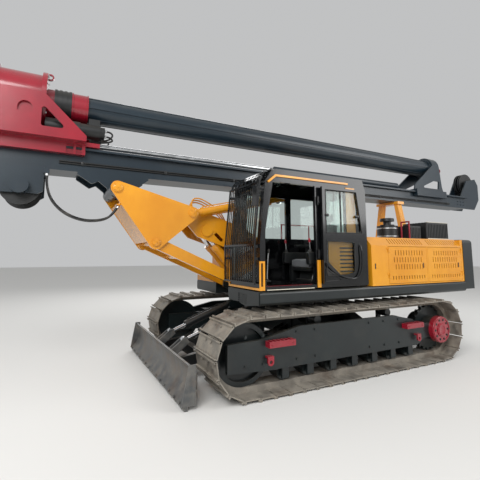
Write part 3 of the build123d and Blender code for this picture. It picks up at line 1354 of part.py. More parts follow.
def make_power_head():
    """Red rotary drive: carriage, gusset plates, gear housing, motors and drive sleeve."""
    plate_in = HOUSING_RADIUS + 4
    plate_out = plate_in + GUSSET_PLATE
    base_top = FLANGE_TOP + SEAT + 80
    front = HEAD_FRONT - 90
    gusset = [
        (HEAD_BACK, base_top - 5),
        (HEAD_BACK, 3435),
        (4365, 3904),
        (4430, 3960),
        (HEAD_FRONT - 130, 3960),
        (front, base_top - 5),
    ]
    with BuildPart() as carriage:
        add(rail_carriage(HEAD_BACK, front, split=False))
        slab((HEAD_BACK, front), (-plate_out - 14, plate_out + 14), (base_top - 30, base_top))
        slab((HEAD_BACK - 190, HEAD_BACK + 5), (-320, 320), (base_top - 60, base_top))
        cheek = FLANGE_HALF + FREE
        for side in (1, -1):
            side_plate(gusset, lane(side, plate_in, plate_out), corner=4)
            hole = lane(side, plate_in - 5, plate_out + 5)
            side_plate([(4130, 3495), (4440, 3495), (4440, 3800)], hole, corner=30, mode=Mode.SUBTRACT)
            slab((4545, 4715), hole, (3660, 3715), mode=Mode.SUBTRACT)
            bar_y(4630, 3715, hole, 85, mode=Mode.SUBTRACT)
            for x in ((3925, 4000), (4032, 4124)):
                slab(x, lane(side, cheek - 1, cheek + 31), (3205, 3345), mode=Mode.SUBTRACT)
            slab((HEAD_BACK, HEAD_BACK + 40), lane(side, 90, plate_in), (base_top - 5, 3435))
        slab((HEAD_BACK - 60, HEAD_BACK + 40), (-70, 70), (base_top - 30, CROWD_Z + 70))
    carriage.part.label = "head_carriage"
    export_step(carriage.part, "parts/head_carriage.step")

    with BuildPart() as housing:
        bar_x(0, KELLY_Z, (HOUSING_BACK, HEAD_FRONT - 60), HOUSING_RADIUS - 45)
        bar_x(0, KELLY_Z, (HOUSING_BACK - 40, HOUSING_BACK + 20), HOUSING_RADIUS)
        bar_x(0, KELLY_Z, (HEAD_FRONT - 80, HEAD_FRONT), HOUSING_RADIUS)
        slab((HOUSING_BACK + 100, HEAD_FRONT - 140), (-plate_in, plate_in), (base_top, KELLY_Z))
        bar_x(0, KELLY_Z, (HOUSING_BACK - 50, HEAD_FRONT + 10), SLEEVE_TUBE + SEAT, mode=Mode.SUBTRACT)
        ring = (HOUSING_BACK - 62, KELLY_Z + HOUSING_RADIUS - 20)
        bar_y(*ring, (-15, 15), 50)
        bar_y(*ring, (-16, 16), 30, mode=Mode.SUBTRACT)
    housing.part.label = "gear_housing"
    export_step(housing.part, "parts/gear_housing.step")

    with BuildPart() as motors:
        for side in (1, -1):
            bar_x(side * MOTOR_Y, MOTOR_Z, (3960, HOUSING_BACK - 40), 118)
            bar_x(side * MOTOR_Y, MOTOR_Z, (3690, 3960), 105)
            bar_x(side * MOTOR_Y, MOTOR_Z, (3630, 3690), 88)
            slab((3700, 3850), lane(side, MOTOR_Y - 65, MOTOR_Y + 65), (MOTOR_Z + 80, MOTOR_Z + 175))
            slab((3960, 4200), lane(side, MOTOR_Y - 50, MOTOR_Y + 50), (base_top, MOTOR_Z - 80))
    motors.part.label = "drive_motors"
    export_step(motors.part, "parts/drive_motors.step")

    with BuildPart() as rod:
        bar_x(0, CROWD_Z, (CROWD_FRONT - 220, HEAD_BACK - 60), 40)
    rod.part.label = "crowd_rod"
    export_step(rod.part, "parts/crowd_rod.step")

    with BuildPart() as sleeve:
        bar_x(0, KELLY_Z, (HEAD_BACK - 20, HEAD_FRONT), SLEEVE_TUBE)
        for x in ((HEAD_BACK - 20, HEAD_BACK - 8), (HEAD_BACK + 180, HEAD_BACK + 200)):
            bar_x(0, KELLY_Z, x, SLEEVE_TUBE + 12)
        bar_x(0, KELLY_Z, (HEAD_BACK - 40, HEAD_FRONT + 20), SLEEVE_BORE, mode=Mode.SUBTRACT)
    sleeve.part.label = "drive_sleeve"
    export_step(sleeve.part, "parts/drive_sleeve.step")

    damper_x = (HEAD_BACK + 204, HOUSING_BACK - 135)
    ribs = 4
    rib = (damper_x[1] - damper_x[0]) / (2 * ribs - 1)
    with BuildPart() as damper:
        bar_x(0, KELLY_Z, damper_x, SLEEVE_TUBE + 8)
        for number in range(ribs):
            start = damper_x[0] + 2 * rib * number
            bar_x(0, KELLY_Z, (start, start + rib), SLEEVE_TUBE + 16)
        bar_x(0, KELLY_Z, (damper_x[0] - 5, damper_x[1] + 5), SLEEVE_TUBE, mode=Mode.SUBTRACT)
    damper.part.label = "sleeve_damper"
    export_step(damper.part, "parts/sleeve_damper.step")


def kelly_section(radius, x, keys):
    """One tube of the kelly bar with its drive keys, round the kelly axis."""
    with BuildPart() as tube:
        with BuildSketch(Plane.YZ.offset(x[0])) as ring:
            with Locations((0, KELLY_Z)):
                Circle(radius)
                if keys:
                    with PolarLocations(radius + KEY_HEIGHT / 2 - 4, 6):
                        Rectangle(KEY_HEIGHT + 8, 36)
                Circle(radius - KELLY_WALL, mode=Mode.SUBTRACT)
        extrude(to_extrude=ring.sketch, amount=x[1] - x[0])
    return tube.part


def kelly_collar(inside, bore, x):
    """Ring on a tube's rear end that runs in the bore of the tube round it."""
    bar_x(0, KELLY_Z, (x, x + 80), bore - SEAT)
    bar_x(0, KELLY_Z, (x, x + 80), inside, mode=Mode.SUBTRACT)


def kelly_bush(outside, shaft, x):
    """Ring in a tube's front end that the next tube runs through."""
    with BuildPart() as bush:
        bar_x(0, KELLY_Z, (x - 80, x), outside)
        bar_x(0, KELLY_Z, (x - 80, x), shaft + SEAT, mode=Mode.SUBTRACT)
    add(bush.part)


def make_kelly():
    """Telescopic kelly bar: three tubes, the square stub at its end, and its guide frame."""
    mid_radius = KELLY_RADIUS - KELLY_WALL - FREE
    inner_radius = mid_radius - KELLY_WALL - FREE
    with BuildPart() as outer:
        add(kelly_section(KELLY_RADIUS, (KELLY_REAR, KELLY_FRONT), keys=True))
        collar = ((KELLY_REAR, KELLY_REAR + 30), (-3960, -3930))
        for start, end in collar:
            bar_x(0, KELLY_Z, (start, end), KELLY_RADIUS + 40)
        bar_x(0, KELLY_Z, (KELLY_REAR, -3930), KELLY_RADIUS + 18)
        bar_x(0, KELLY_Z, (KELLY_REAR - 10, KELLY_FRONT), KELLY_RADIUS - KELLY_WALL, mode=Mode.SUBTRACT)
        kelly_bush(KELLY_RADIUS - 5, mid_radius, KELLY_FRONT)
    outer.part.label = "kelly_outer"
    export_step(outer.part, "parts/kelly_outer.step")

    with BuildPart() as mid:
        rear = KELLY_REAR + KELLY_STEP / 2
        add(kelly_section(mid_radius, (rear, KELLY_FRONT + KELLY_STEP), keys=False))
        kelly_collar(mid_radius - 5, KELLY_RADIUS - KELLY_WALL, rear)
        kelly_bush(mid_radius - 5, inner_radius, KELLY_FRONT + KELLY_STEP)
    mid.part.label = "kelly_mid"
    export_step(mid.part, "parts/kelly_mid.step")

    stub_start = KELLY_FRONT + 2 * KELLY_STEP
    with BuildPart() as inner:
        rear = KELLY_REAR + 0.75 * KELLY_STEP
        add(kelly_section(inner_radius, (rear, stub_start), keys=False))
        kelly_collar(inner_radius - 5, mid_radius - KELLY_WALL, rear)
        slab(
            (stub_start - 30, STUB_END),
            (-STUB_SIZE / 2, STUB_SIZE / 2),
            (KELLY_Z - STUB_SIZE / 2, KELLY_Z + STUB_SIZE / 2),
        )
        bar_x(0, KELLY_Z, (stub_start - 60, stub_start), inner_radius)
        bar_y((stub_start + STUB_END) / 2 + 10, KELLY_Z, (-STUB_SIZE, STUB_SIZE), 32, mode=Mode.SUBTRACT)
    inner.part.label = "kelly_inner"
    export_step(inner.part, "parts/kelly_inner.step")

    ring_x = (KELLY_REAR + 30 + FREE, -3960 - FREE)
    with BuildPart() as guide:
        add(rail_carriage(GUIDE_REAR, GUIDE_FRONT, split=True))
        for side in (1, -1):
            y = lane(side, KELLY_RADIUS + 50, KELLY_RADIUS + 82)
            side_plate(
                [
                    (GUIDE_REAR, FLANGE_TOP + 20),
                    (GUIDE_REAR + 60, 3480),
                    (ring_x[0], KELLY_Z + 30),
                    (ring_x[1], KELLY_Z + 30),
                    (GUIDE_FRONT - 40, 3480),
                    (GUIDE_FRONT, FLANGE_TOP + 20),
                ],
                y,
            )
            side_plate(
                [
                    (GUIDE_REAR + 200, 3420),
                    (ring_x[0] + 30, 3620),
                    (ring_x[1] - 30, 3620),
                    (GUIDE_FRONT - 250, 3420),
                ],
                y,
                corner=25,
                mode=Mode.SUBTRACT,
            )
        bar_x(0, KELLY_Z, ring_x, KELLY_RADIUS + 80)
        bar_x(0, KELLY_Z, ring_x, KELLY_RADIUS + 18 + SEAT, mode=Mode.SUBTRACT)
    guide.part.label = "kelly_guide"
    export_step(guide.part, "parts/kelly_guide.step")

    with BuildPart() as swivel:
        plug_end = KELLY_REAR + 0.75 * KELLY_STEP
        bar_x(0, KELLY_Z, (plug_end - 30, plug_end), inner_radius)
        bar_x(0, KELLY_Z, (KELLY_REAR - 330, plug_end - 30), 70)
        bar_x(0, KELLY_Z, (KELLY_REAR - 200, KELLY_REAR - 100), 95)
        bar_y(KELLY_REAR - 290, KELLY_Z, (-70, 70), 24, mode=Mode.SUBTRACT)
    swivel.part.label = "rope_swivel"
    export_step(swivel.part, "parts/rope_swivel.step")


make_tracks()
make_track_frames()
make_rollers()
make_track_wheels()
make_red_fittings()
make_car_body()
make_blade()
make_blade_cylinders()
make_deck()
make_cab()
make_cab_guard()
make_cab_trim()
make_cab_door()
make_cab_inside()
make_hood()
make_top_gear()
make_right_side()
make_boom()
make_links()
make_triangle()
make_hoses()
make_luff_cylinders()
make_mast_cylinders()
make_mast()
make_mast_head()
make_main_winch()
make_power_head()
make_kelly()
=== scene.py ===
"""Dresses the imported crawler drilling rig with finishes, fasteners, hoses and a padded seat.

Metres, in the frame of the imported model: +X is forward, +Y is the machine's left, +Z is up.
"""

import logging
import math
from dataclasses import dataclass
from enum import Enum
from typing import Callable, Iterable, Sequence

import bpy
from mathutils import Matrix, Vector

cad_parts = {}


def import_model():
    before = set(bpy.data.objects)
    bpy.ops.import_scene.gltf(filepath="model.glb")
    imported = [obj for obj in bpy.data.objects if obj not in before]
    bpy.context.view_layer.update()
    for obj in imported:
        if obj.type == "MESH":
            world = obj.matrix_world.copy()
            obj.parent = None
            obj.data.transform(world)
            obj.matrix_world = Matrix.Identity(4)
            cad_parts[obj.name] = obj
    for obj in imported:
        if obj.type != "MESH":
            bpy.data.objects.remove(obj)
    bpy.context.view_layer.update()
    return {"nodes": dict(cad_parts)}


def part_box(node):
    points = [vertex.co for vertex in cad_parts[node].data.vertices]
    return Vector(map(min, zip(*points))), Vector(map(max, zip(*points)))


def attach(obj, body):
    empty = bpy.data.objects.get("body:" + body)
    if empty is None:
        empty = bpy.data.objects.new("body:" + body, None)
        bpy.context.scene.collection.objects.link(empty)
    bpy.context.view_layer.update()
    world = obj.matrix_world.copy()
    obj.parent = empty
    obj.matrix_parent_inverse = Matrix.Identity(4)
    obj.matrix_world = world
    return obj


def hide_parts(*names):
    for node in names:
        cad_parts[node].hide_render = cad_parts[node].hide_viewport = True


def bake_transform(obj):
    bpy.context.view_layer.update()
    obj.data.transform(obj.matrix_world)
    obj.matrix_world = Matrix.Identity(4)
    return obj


LOG = logging.getLogger("rig")
Piece = bpy.types.Object
Tree = bpy.types.NodeTree
Socket = bpy.types.NodeSocket
Point = tuple[float, float, float] | Vector
Pair = tuple[float, float]
Spot = tuple[Point, Point]
Outline = tuple[Pair, ...]
SMOOTH_ANGLE = math.radians(35)
BEVEL_ANGLE = math.radians(40)


class Side(Enum):
    """The two sides of the machine, as the sign of their Y."""

    LEFT = 1
    RIGHT = -1


class Axis(Enum):
    """The direction that a round piece points in."""

    X = (1.0, 0.0, 0.0)
    Y = (0.0, 1.0, 0.0)
    Z = (0.0, 0.0, 1.0)


def to_linear(code: str) -> tuple[float, float, float, float]:
    """Turns an sRGB hex colour into a linear one.

    Args:
        code: six hex digits after a number sign.

    Returns:
        Linear red, green and blue with an alpha of 1.
    """
    parts = [int(code[i : i + 2], 16) / 255 for i in (1, 3, 5)]
    r, g, b = (c / 12.92 if c <= 0.04045 else ((c + 0.055) / 1.055) ** 2.4 for c in parts)
    return r, g, b, 1.0


def add_node(tree: Tree, kind: str, inputs: dict | None = None, **settings: object) -> bpy.types.Node:
    """Adds one shader node.

    Args:
        tree: the material's node tree.
        kind: the node's type without its ShaderNode prefix.
        inputs: values or output sockets for its inputs, by name or number.
        **settings: the node's own properties.

    Returns:
        The new node.
    """
    node = tree.nodes.new("ShaderNode" + kind)
    for key, value in settings.items():
        setattr(node, key, value)
    for key, value in (inputs or {}).items():
        if isinstance(value, Socket):
            tree.links.new(value, node.inputs[key])
        else:
            node.inputs[key].default_value = value
    return node


@dataclass(frozen=True)
class Finish:
    """What each finish has: its name, its colour and the patterns that several of them share."""

    name: str
    colour: str

    def build(self) -> bpy.types.Material:
        """Makes the material from the finish's own shader.

        Returns:
            The finished material.
        """
        material = bpy.data.materials.new(self.name)
        material.use_nodes = True
        tree = material.node_tree
        tree.nodes.clear()
        shader = self.shader(tree)
        output = add_node(tree, "OutputMaterial")
        tree.links.new(shader.outputs[0], output.inputs["Surface"])
        material.diffuse_color = to_linear(self.colour)
        return material

    def shader(self, tree: Tree) -> bpy.types.Node:
        """Builds the finish's own nodes and returns its shader."""
        raise NotImplementedError

    def noise(self, tree: Tree, scale: float, detail: float = 4.0, stretch: Point = (1, 1, 1)) -> Socket:
        """A noise pattern on Object coordinates.

        Args:
            tree: the material's node tree.
            scale: repeats in a metre.
            detail: levels of finer noise.
            stretch: scale along each axis.

        Returns:
            The noise's value.
        """
        place = add_node(tree, "TexCoord").outputs["Object"]
        if stretch != (1, 1, 1):
            place = add_node(tree, "Mapping", {"Vector": place, "Scale": stretch}).outputs[0]
        node = add_node(tree, "TexNoise", {"Vector": place, "Scale": scale, "Detail": detail, "Roughness": 0.6})
        return node.outputs[0]

    def level(self, tree: Tree, value: Socket, low: float, high: float, to: Pair = (0.0, 1.0)) -> Socket:
        """Stretches a value so that low and high become the pair in to, and clamps it."""
        ports = {0: value, 1: low, 2: high, 3: to[0], 4: to[1]}
        return add_node(tree, "MapRange", ports).outputs[0]

    def mixed(self, tree: Tree, factor: Socket, first: Socket | str, second: Socket | str) -> Socket:
        """Blends two colours, each a hex code or a socket, by a factor."""
        colours = [to_linear(c) if isinstance(c, str) else c for c in (first, second)]
        return add_node(tree, "Mix", {0: factor, 6: colours[0], 7: colours[1]}, data_type="RGBA").outputs[2]

    def blended(self, tree: Tree, factor: Socket, first: Socket | float, second: Socket | float) -> Socket:
        """Blends two numbers or sockets by a factor."""
        return add_node(tree, "Mix", {0: factor, 2: first, 3: second}, data_type="FLOAT").outputs[0]

    def math(self, tree: Tree, operation: str, first: Socket | float, second: Socket | float) -> Socket:
        """Does one sum on two numbers or sockets and clamps it to 0 to 1."""
        return add_node(tree, "Math", {0: first, 1: second}, operation=operation, use_clamp=True).outputs[0]

    def bumped(self, tree: Tree, height: Socket, depth: float) -> Socket:
        """A normal pushed out by a height map of a depth in metres."""
        return add_node(tree, "Bump", {"Height": height, "Strength": 1.0, "Distance": depth}).outputs[0]


@dataclass(frozen=True)
class Enamel(Finish):
    """Two-pack enamel sprayed on steel plate: even and glossy, with an orange-peel ripple.

    Workshop dust lies on what faces up, and stone chips show the dark primer.
    """

    shade: str = "#000000"
    roughness: float = 0.22
    coat: float = 0.6
    dust: str = "#9a8f7d"
    dust_level: float = 0.35
    chip: str = "#2a2724"
    chip_level: float = 0.3

    def shader(self, tree: Tree) -> bpy.types.Node:
        """Mottled paint under dust and chips.

        Args:
            tree: the material's node tree.

        Returns:
            The finish's main shader.
        """
        mottle = self.level(tree, self.noise(tree, 1.3, 3.0), 0.35, 0.7)
        run = self.level(tree, self.noise(tree, 5.0, 5.0, (1.0, 1.0, 0.18)), 0.5, 0.8, (0.0, 0.5))
        paint = self.mixed(tree, mottle, self.colour, self.shade)
        paint = self.mixed(tree, run, paint, self.shade)
        normal = add_node(tree, "TexCoord").outputs["Normal"]
        up = add_node(tree, "SeparateXYZ", {0: normal}).outputs[2]
        lying = self.level(tree, up, 0.25, 0.95)
        patch = self.level(tree, self.noise(tree, 4.5, 8.0), 0.3, 0.75, (0.25, 1.0))
        film = self.level(tree, self.noise(tree, 2.2, 6.0), 0.52, 0.8, (0.0, 0.22 * self.dust_level))
        dust = self.math(tree, "MULTIPLY", self.math(tree, "MULTIPLY", lying, patch), self.dust_level)
        dust = self.math(tree, "MAXIMUM", dust, film)
        chips = self.level(tree, self.noise(tree, 38.0, 6.0), 0.735, 0.745, (0.0, self.chip_level))
        colour = self.mixed(tree, dust, paint, self.dust)
        colour = self.mixed(tree, chips, colour, self.chip)
        rough = self.blended(tree, dust, self.roughness, 0.8)
        # Orange peel of sprayed enamel, about 8 mm wide, coarser than the real 2 mm so that it shows
        peel = self.noise(tree, 120.0, 2.0)
        ports = {
            "Base Color": colour,
            "Roughness": rough,
            "Normal": self.bumped(tree, peel, 0.0003),
            "Coat Weight": self.coat,
            "Coat Roughness": 0.08,
        }
        return add_node(tree, "BsdfPrincipled", ports)


@dataclass(frozen=True)
class SoiledSteel(Finish):
    """Bare rolled steel that works in soil: dry grey-brown earth in the hollows, rubbed metal on the ribs."""

    earth: str = "#8f877a"
    rust: str = "#5b4636"
    earth_level: float = 0.6
    roughness: float = 0.62

    def shader(self, tree: Tree) -> bpy.types.Node:
        """Steel under patches of earth and rust, with a pitted surface.

        Args:
            tree: the material's node tree.

        Returns:
            The finish's main shader.
        """
        patch = self.level(tree, self.noise(tree, 6.0, 8.0), 0.38, 0.62, (0.0, self.earth_level))
        stain = self.level(tree, self.noise(tree, 2.4, 5.0), 0.5, 0.72, (0.0, 0.7))
        speck = self.level(tree, self.noise(tree, 70.0, 4.0), 0.55, 0.7, (0.0, 0.45))
        colour = self.mixed(tree, stain, self.colour, self.rust)
        colour = self.mixed(tree, patch, colour, self.earth)
        colour = self.mixed(tree, speck, colour, "#6a6256")
        metal = self.level(tree, patch, 0.0, 0.5, (0.55, 0.05))
        pits = self.math(tree, "ADD", self.noise(tree, 45.0, 8.0), self.noise(tree, 160.0, 3.0))
        ports = {
            "Base Color": colour,
            "Metallic": metal,
            "Roughness": self.level(tree, patch, 0.0, 0.6, (self.roughness - 0.15, self.roughness + 0.25)),
            "Normal": self.bumped(tree, pits, 0.002),
        }
        return add_node(tree, "BsdfPrincipled", ports)


@dataclass(frozen=True)
class MachinedSteel(Finish):
    """Turned or drawn steel: fine lines along the tool's path and a thin film of oil."""

    roughness: float = 0.3
    lines: Point = (2.0, 220.0, 220.0)

    def shader(self, tree: Tree) -> bpy.types.Node:
        """Bright metal whose gloss varies along fine lines.

        Args:
            tree: the material's node tree.

        Returns:
            The finish's main shader.
        """
        line = self.noise(tree, 1.0, 2.0, self.lines)
        stain = self.level(tree, self.noise(tree, 5.0, 5.0), 0.45, 0.75, (0.0, 0.5))
        ports = {
            "Base Color": self.mixed(tree, stain, self.colour, "#4c4b48"),
            "Metallic": 1.0,
            "Roughness": self.level(tree, line, 0.3, 0.7, (self.roughness * 0.7, self.roughness * 1.4)),
            "Normal": self.bumped(tree, line, 0.0001),
        }
        return add_node(tree, "BsdfPrincipled", ports)


@dataclass(frozen=True)
class Rubber(Finish):
    """Black extruded or moulded rubber with a thin film of dust that dulls it."""

    roughness: float = 0.5

    def shader(self, tree: Tree) -> bpy.types.Node:
        """Dark rubber, dusty in patches.

        Args:
            tree: the material's node tree.

        Returns:
            The finish's main shader.
        """
        dust = self.level(tree, self.noise(tree, 9.0, 6.0), 0.45, 0.8, (0.0, 0.35))
        grain = self.noise(tree, 300.0, 3.0)
        ports = {
            "Base Color": self.mixed(tree, dust, self.colour, "#6f6a62"),
            "Roughness": self.blended(tree, dust, self.roughness, 0.85),
            "Normal": self.bumped(tree, grain, 0.0003),
        }
        return add_node(tree, "BsdfPrincipled", ports)


@dataclass(frozen=True)
class SafetyGlass(Finish):
    """Flat laminated glass: clear with a faint green cast, and a film of dust near its edges."""

    def shader(self, tree: Tree) -> bpy.types.Node:
        """Clear glass, slightly dull where dust clings.

        Args:
            tree: the material's node tree.

        Returns:
            The finish's main shader.
        """
        film = self.level(tree, self.noise(tree, 3.0, 6.0), 0.5, 0.8, (0.0, 0.12))
        ports = {
            "Base Color": to_linear(self.colour),
            "Roughness": self.level(tree, film, 0.0, 0.12, (0.0, 0.12)),
            "IOR": 1.5,
            "Transmission Weight": 1.0,
        }
        return add_node(tree, "BsdfPrincipled", ports)


@dataclass(frozen=True)
class WovenCloth(Finish):
    """Coarse polyester seat cloth: a plain weave with a soft sheen."""

    thread: float = 0.004

    def shader(self, tree: Tree) -> bpy.types.Node:
        """Crossed threads as a bump and a colour change, drawn at 4 mm so that they show.

        Args:
            tree: the material's node tree.

        Returns:
            The finish's main shader.
        """
        place = add_node(tree, "TexCoord").outputs["Object"]
        turned = add_node(tree, "Mapping", {"Vector": place, "Rotation": (0.6, 0.5, 0.3)}).outputs[0]
        ports = {"Vector": turned, "Scale": 0.5 / self.thread, "Distortion": 0.6, "Detail": 1.0}
        waves = [add_node(tree, "TexWave", ports, bands_direction=way).outputs[1] for way in ("X", "Z")]
        weave = self.math(tree, "MULTIPLY", *waves)
        ports = {
            "Base Color": self.mixed(tree, weave, self.colour, "#5a5d60"),
            "Roughness": 0.85,
            "Normal": self.bumped(tree, weave, 0.0006),
            "Sheen Weight": 0.4,
        }
        return add_node(tree, "BsdfPrincipled", ports)


@dataclass(frozen=True)
class Plain(Finish):
    """Matt floor paint of the studio, with no pattern of its own."""

    roughness: float = 0.9

    def shader(self, tree: Tree) -> bpy.types.Node:
        """One even colour."""
        return add_node(tree, "BsdfPrincipled", {"Base Color": to_linear(self.colour), "Roughness": self.roughness})


FINISHES: tuple[Finish, ...] = (
    Enamel("yellow_enamel", "#e09a1e", shade="#cf8614", dust_level=0.12, chip_level=0.2),
    Enamel("cab_enamel", "#08090b", shade="#0d0e10", roughness=0.14, coat=0.35, dust_level=0.04, chip_level=0.05),
    Enamel("mast_enamel", "#12202a", shade="#182730", roughness=0.34, coat=0.15, dust_level=0.12),
    Enamel("deck_enamel", "#101719", shade="#161f20", roughness=0.36, coat=0.1, dust_level=0.16),
    Enamel("red_enamel", "#920f24", shade="#780d20", roughness=0.26, coat=0.5, dust_level=0.12),
    Enamel("black_enamel", "#0e1011", shade="#151718", roughness=0.42, coat=0.05, dust_level=0.14),
    Enamel("engine_enamel", "#6b6e6d", shade="#565958", roughness=0.5, coat=0.1),
    SoiledSteel("soiled_track_steel", "#858078"),
    SoiledSteel("blade_steel", "#595b5c", earth_level=0.35, roughness=0.5),
    MachinedSteel("drawn_steel", "#c9cacb"),
    MachinedSteel("chromed_rod", "#e6e8ea", roughness=0.1),
    Rubber("hose_rubber", "#0d0e0f", roughness=0.35),
    Rubber("seal_rubber", "#141414", roughness=0.6),
    SafetyGlass("cab_safety_glass", "#dfeae6"),
    MachinedSteel("mirror_silvering", "#e9edf0", roughness=0.03),
    Enamel("lamp_lens", "#e9e9e4", shade="#dcdcd6", roughness=0.12, dust_level=0.1, chip_level=0.0),
    # Painted shadow: a near-black matt sheet for the shade seen through the louvres
    Rubber("louvre_shadow", "#0a0a0a", roughness=0.9),
    # Painted highlight: pale paint for thin strips along edges of glossy black parts
    Enamel("edge_highlight_paint", "#d8d2c2", shade="#c9c2b0", roughness=0.3, coat=0.2, chip_level=0.1),
    WovenCloth("seat_cloth", "#3b3e42"),
)

FINISH_NODES: dict[str, str] = {
    "yellow_enamel": "cab_trim hood hood_door_front hood_door_rear mast_rest tanks boom lower_links "
    "triangle_frame luff_barrels mast_barrels",
    "cab_enamel": "cab_tub cab_frame cab_roof cab_guard cab_door cab_fittings",
    "mast_enamel": "mast mast_brackets crowd_barrel mast_head kelly_outer kelly_guide",
    "deck_enamel": "track_frames track_rollers track_wheels car_body deck boom_lugs counterweight",
    "red_enamel": "red_fittings hand_rails head_carriage gear_housing drive_sleeve rope_swivel",
    "black_enamel": "blade_arms blade_barrels air_cleaner aux_drum head_sheaves main_drum drive_motors "
    "sleeve_damper",
    "engine_enamel": "engine_block",
    "soiled_track_steel": "track_left track_right",
    "blade_steel": "blade",
    "drawn_steel": "kelly_mid kelly_inner",
    "chromed_rod": "blade_rods luff_rods mast_rods crowd_rod",
    "hose_rubber": "mast_hoses",
    "cab_safety_glass": "cab_glass door_glass",
    "seat_cloth": "seat_and_consoles",
}
NODE_FINISH = {node: finish for finish, nodes in FINISH_NODES.items() for node in nodes.split()}



class Workshop:
    """The bench where raw pieces are started, shaped, copied, joined and handed to a body."""

    def __init__(self, finishes: dict[str, bpy.types.Material]) -> None:
        """Keeps the finishes by name."""
        self.finishes = finishes

    def clear(self) -> None:
        """Deselects every object."""
        bpy.ops.object.select_all(action="DESELECT")

    def only(self, piece: Piece) -> None:
        """Selects one piece and makes it the active one.

        Args:
            piece: the piece.
        """
        self.clear()
        piece.select_set(True)
        bpy.context.view_layer.objects.active = piece

    def settled(self) -> Piece:
        """Puts the active piece's place into its mesh and returns it."""
        bpy.ops.object.transform_apply(location=True, rotation=True, scale=True)
        return bpy.context.object

    def applied(self, piece: Piece, kind: str, **settings: object) -> Piece:
        """Puts a modifier on a piece and applies it.

        Args:
            piece: the piece to change.
            kind: the modifier's type.
            **settings: the modifier's own properties.

        Returns:
            The same piece.
        """
        modifier = piece.modifiers.new("work", kind)
        for key, value in settings.items():
            setattr(modifier, key, value)
        self.only(piece)
        bpy.ops.object.modifier_apply(modifier="work")
        return piece

    def softened(self, piece: Piece, width: float, segments: int = 2) -> Piece:
        """Rounds a piece's sharp edges to a width in metres."""
        limit = {"limit_method": "ANGLE", "angle_limit": BEVEL_ANGLE}
        return self.applied(piece, "BEVEL", width=width, segments=segments, **limit)

    def cube(self, low: Point, high: Point) -> tuple[Piece, float]:
        """A sharp-edged block.

        Args:
            low: its lowest corner.
            high: its highest corner.

        Returns:
            The block and the smallest of its sizes.
        """
        size = [b - a for a, b in zip(low, high)]
        centre = [(a + b) / 2 for a, b in zip(low, high)]
        self.clear()
        bpy.ops.mesh.primitive_cube_add(size=1.0, location=centre, scale=size)
        return self.settled(), min(size)

    def block(self, low: Point, high: Point, edge: float = 0.003) -> Piece:
        """A block between two corners with its edges rounded to a width."""
        piece, thin = self.cube(low, high)
        return self.softened(piece, min(edge, 0.3 * thin), 1 if thin < 0.012 else 2)

    def wedge(self, low: Point, high: Point, axis: int, top: float, edge: float = 0.003) -> Piece:
        """A block whose upper face is narrowed along one axis, as a rib or a grouser bar is.

        Args:
            low: its lowest corner.
            high: its highest corner.
            axis: 0 or 1, the axis that narrows.
            top: the share of the width that is left at the top.
            edge: the width of its rounded edges.

        Returns:
            The new piece.
        """
        piece, thin = self.cube(low, high)
        self.pick(piece, lambda face: face.normal.z > 0.9)
        narrow = [1.0, 1.0, 1.0]
        narrow[axis] = top
        bpy.ops.transform.resize(value=narrow)
        bpy.ops.object.mode_set(mode="OBJECT")
        return self.softened(piece, min(edge, 0.3 * thin), 1)

    def pick(self, piece: Piece, wanted: Callable[[bpy.types.MeshPolygon], bool]) -> None:
        """Selects some faces of a piece and leaves it in edit mode.

        Args:
            piece: the piece to work on.
            wanted: says whether a face is one of them.
        """
        self.only(piece)
        bpy.ops.object.mode_set(mode="EDIT")
        bpy.ops.mesh.select_mode(type="FACE")
        bpy.ops.mesh.select_all(action="DESELECT")
        bpy.ops.object.mode_set(mode="OBJECT")
        for face in piece.data.polygons:
            face.select = wanted(face)
        bpy.ops.object.mode_set(mode="EDIT")

    def disc(
        self,
        centre: Point,
        way: Point,
        radius: float,
        length: float,
        steps: Sequence[tuple[float, float]] = (),
        edge: float = 0.003,
        sides: int = 32,
    ) -> Piece:
        """A round piece that stands on its base and may have steps in its far face.

        Args:
            centre: the middle of its base.
            way: the direction in which it stands out.
            radius: its outer radius.
            length: how far it stands out.
            steps: pairs of how far in a step starts and how high it rises, or sinks where negative.
            edge: the width of its rounded edges.
            sides: the number of its flats.

        Returns:
            The new piece.
        """
        self.clear()
        bpy.ops.mesh.primitive_cylinder_add(vertices=sides, radius=radius, depth=length, location=(0, 0, length / 2))
        piece = self.settled()
        if steps:
            self.pick(piece, lambda face: face.normal.z > 0.9)
            for inwards, rise in steps:
                bpy.ops.mesh.inset(thickness=inwards)
                if rise:
                    bpy.ops.mesh.extrude_region_move(TRANSFORM_OT_translate={"value": (0, 0, rise)})
            bpy.ops.object.mode_set(mode="OBJECT")
        if edge:
            self.softened(piece, edge, 1 if sides < 13 else 2)
        piece.data.transform(self.stand(centre, way))
        return piece

    def stand(self, centre: Point, way: Point) -> Matrix:
        """The matrix that takes a piece built up along Z at the origin to a place and a direction."""
        turn = Vector((0, 0, 1)).rotation_difference(Vector(way).normalized()).to_matrix().to_4x4()
        return Matrix.Translation(centre) @ turn

    def tube(
        self,
        centre: Point,
        way: Point,
        outer: float,
        inner: float,
        length: float,
        edge: float = 0.002,
        sides: int = 40,
    ) -> Piece:
        """A ring or sleeve with an open bore.

        Args:
            centre: the middle of its base.
            way: the direction of its bore.
            outer: its outer radius.
            inner: its bore's radius.
            length: its length along the bore.
            edge: the width of its rounded edges.
            sides: the number of its flats.

        Returns:
            The new piece.
        """
        self.clear()
        bpy.ops.mesh.primitive_cylinder_add(
            vertices=sides, radius=outer, depth=length, location=(0, 0, length / 2), end_fill_type="NOTHING"
        )
        piece = self.settled()
        self.applied(piece, "SOLIDIFY", thickness=outer - inner, offset=-1.0, use_even_offset=True)
        self.softened(piece, min(edge, 0.3 * (outer - inner), 0.3 * length), 1)
        piece.data.transform(self.stand(centre, way))
        return piece

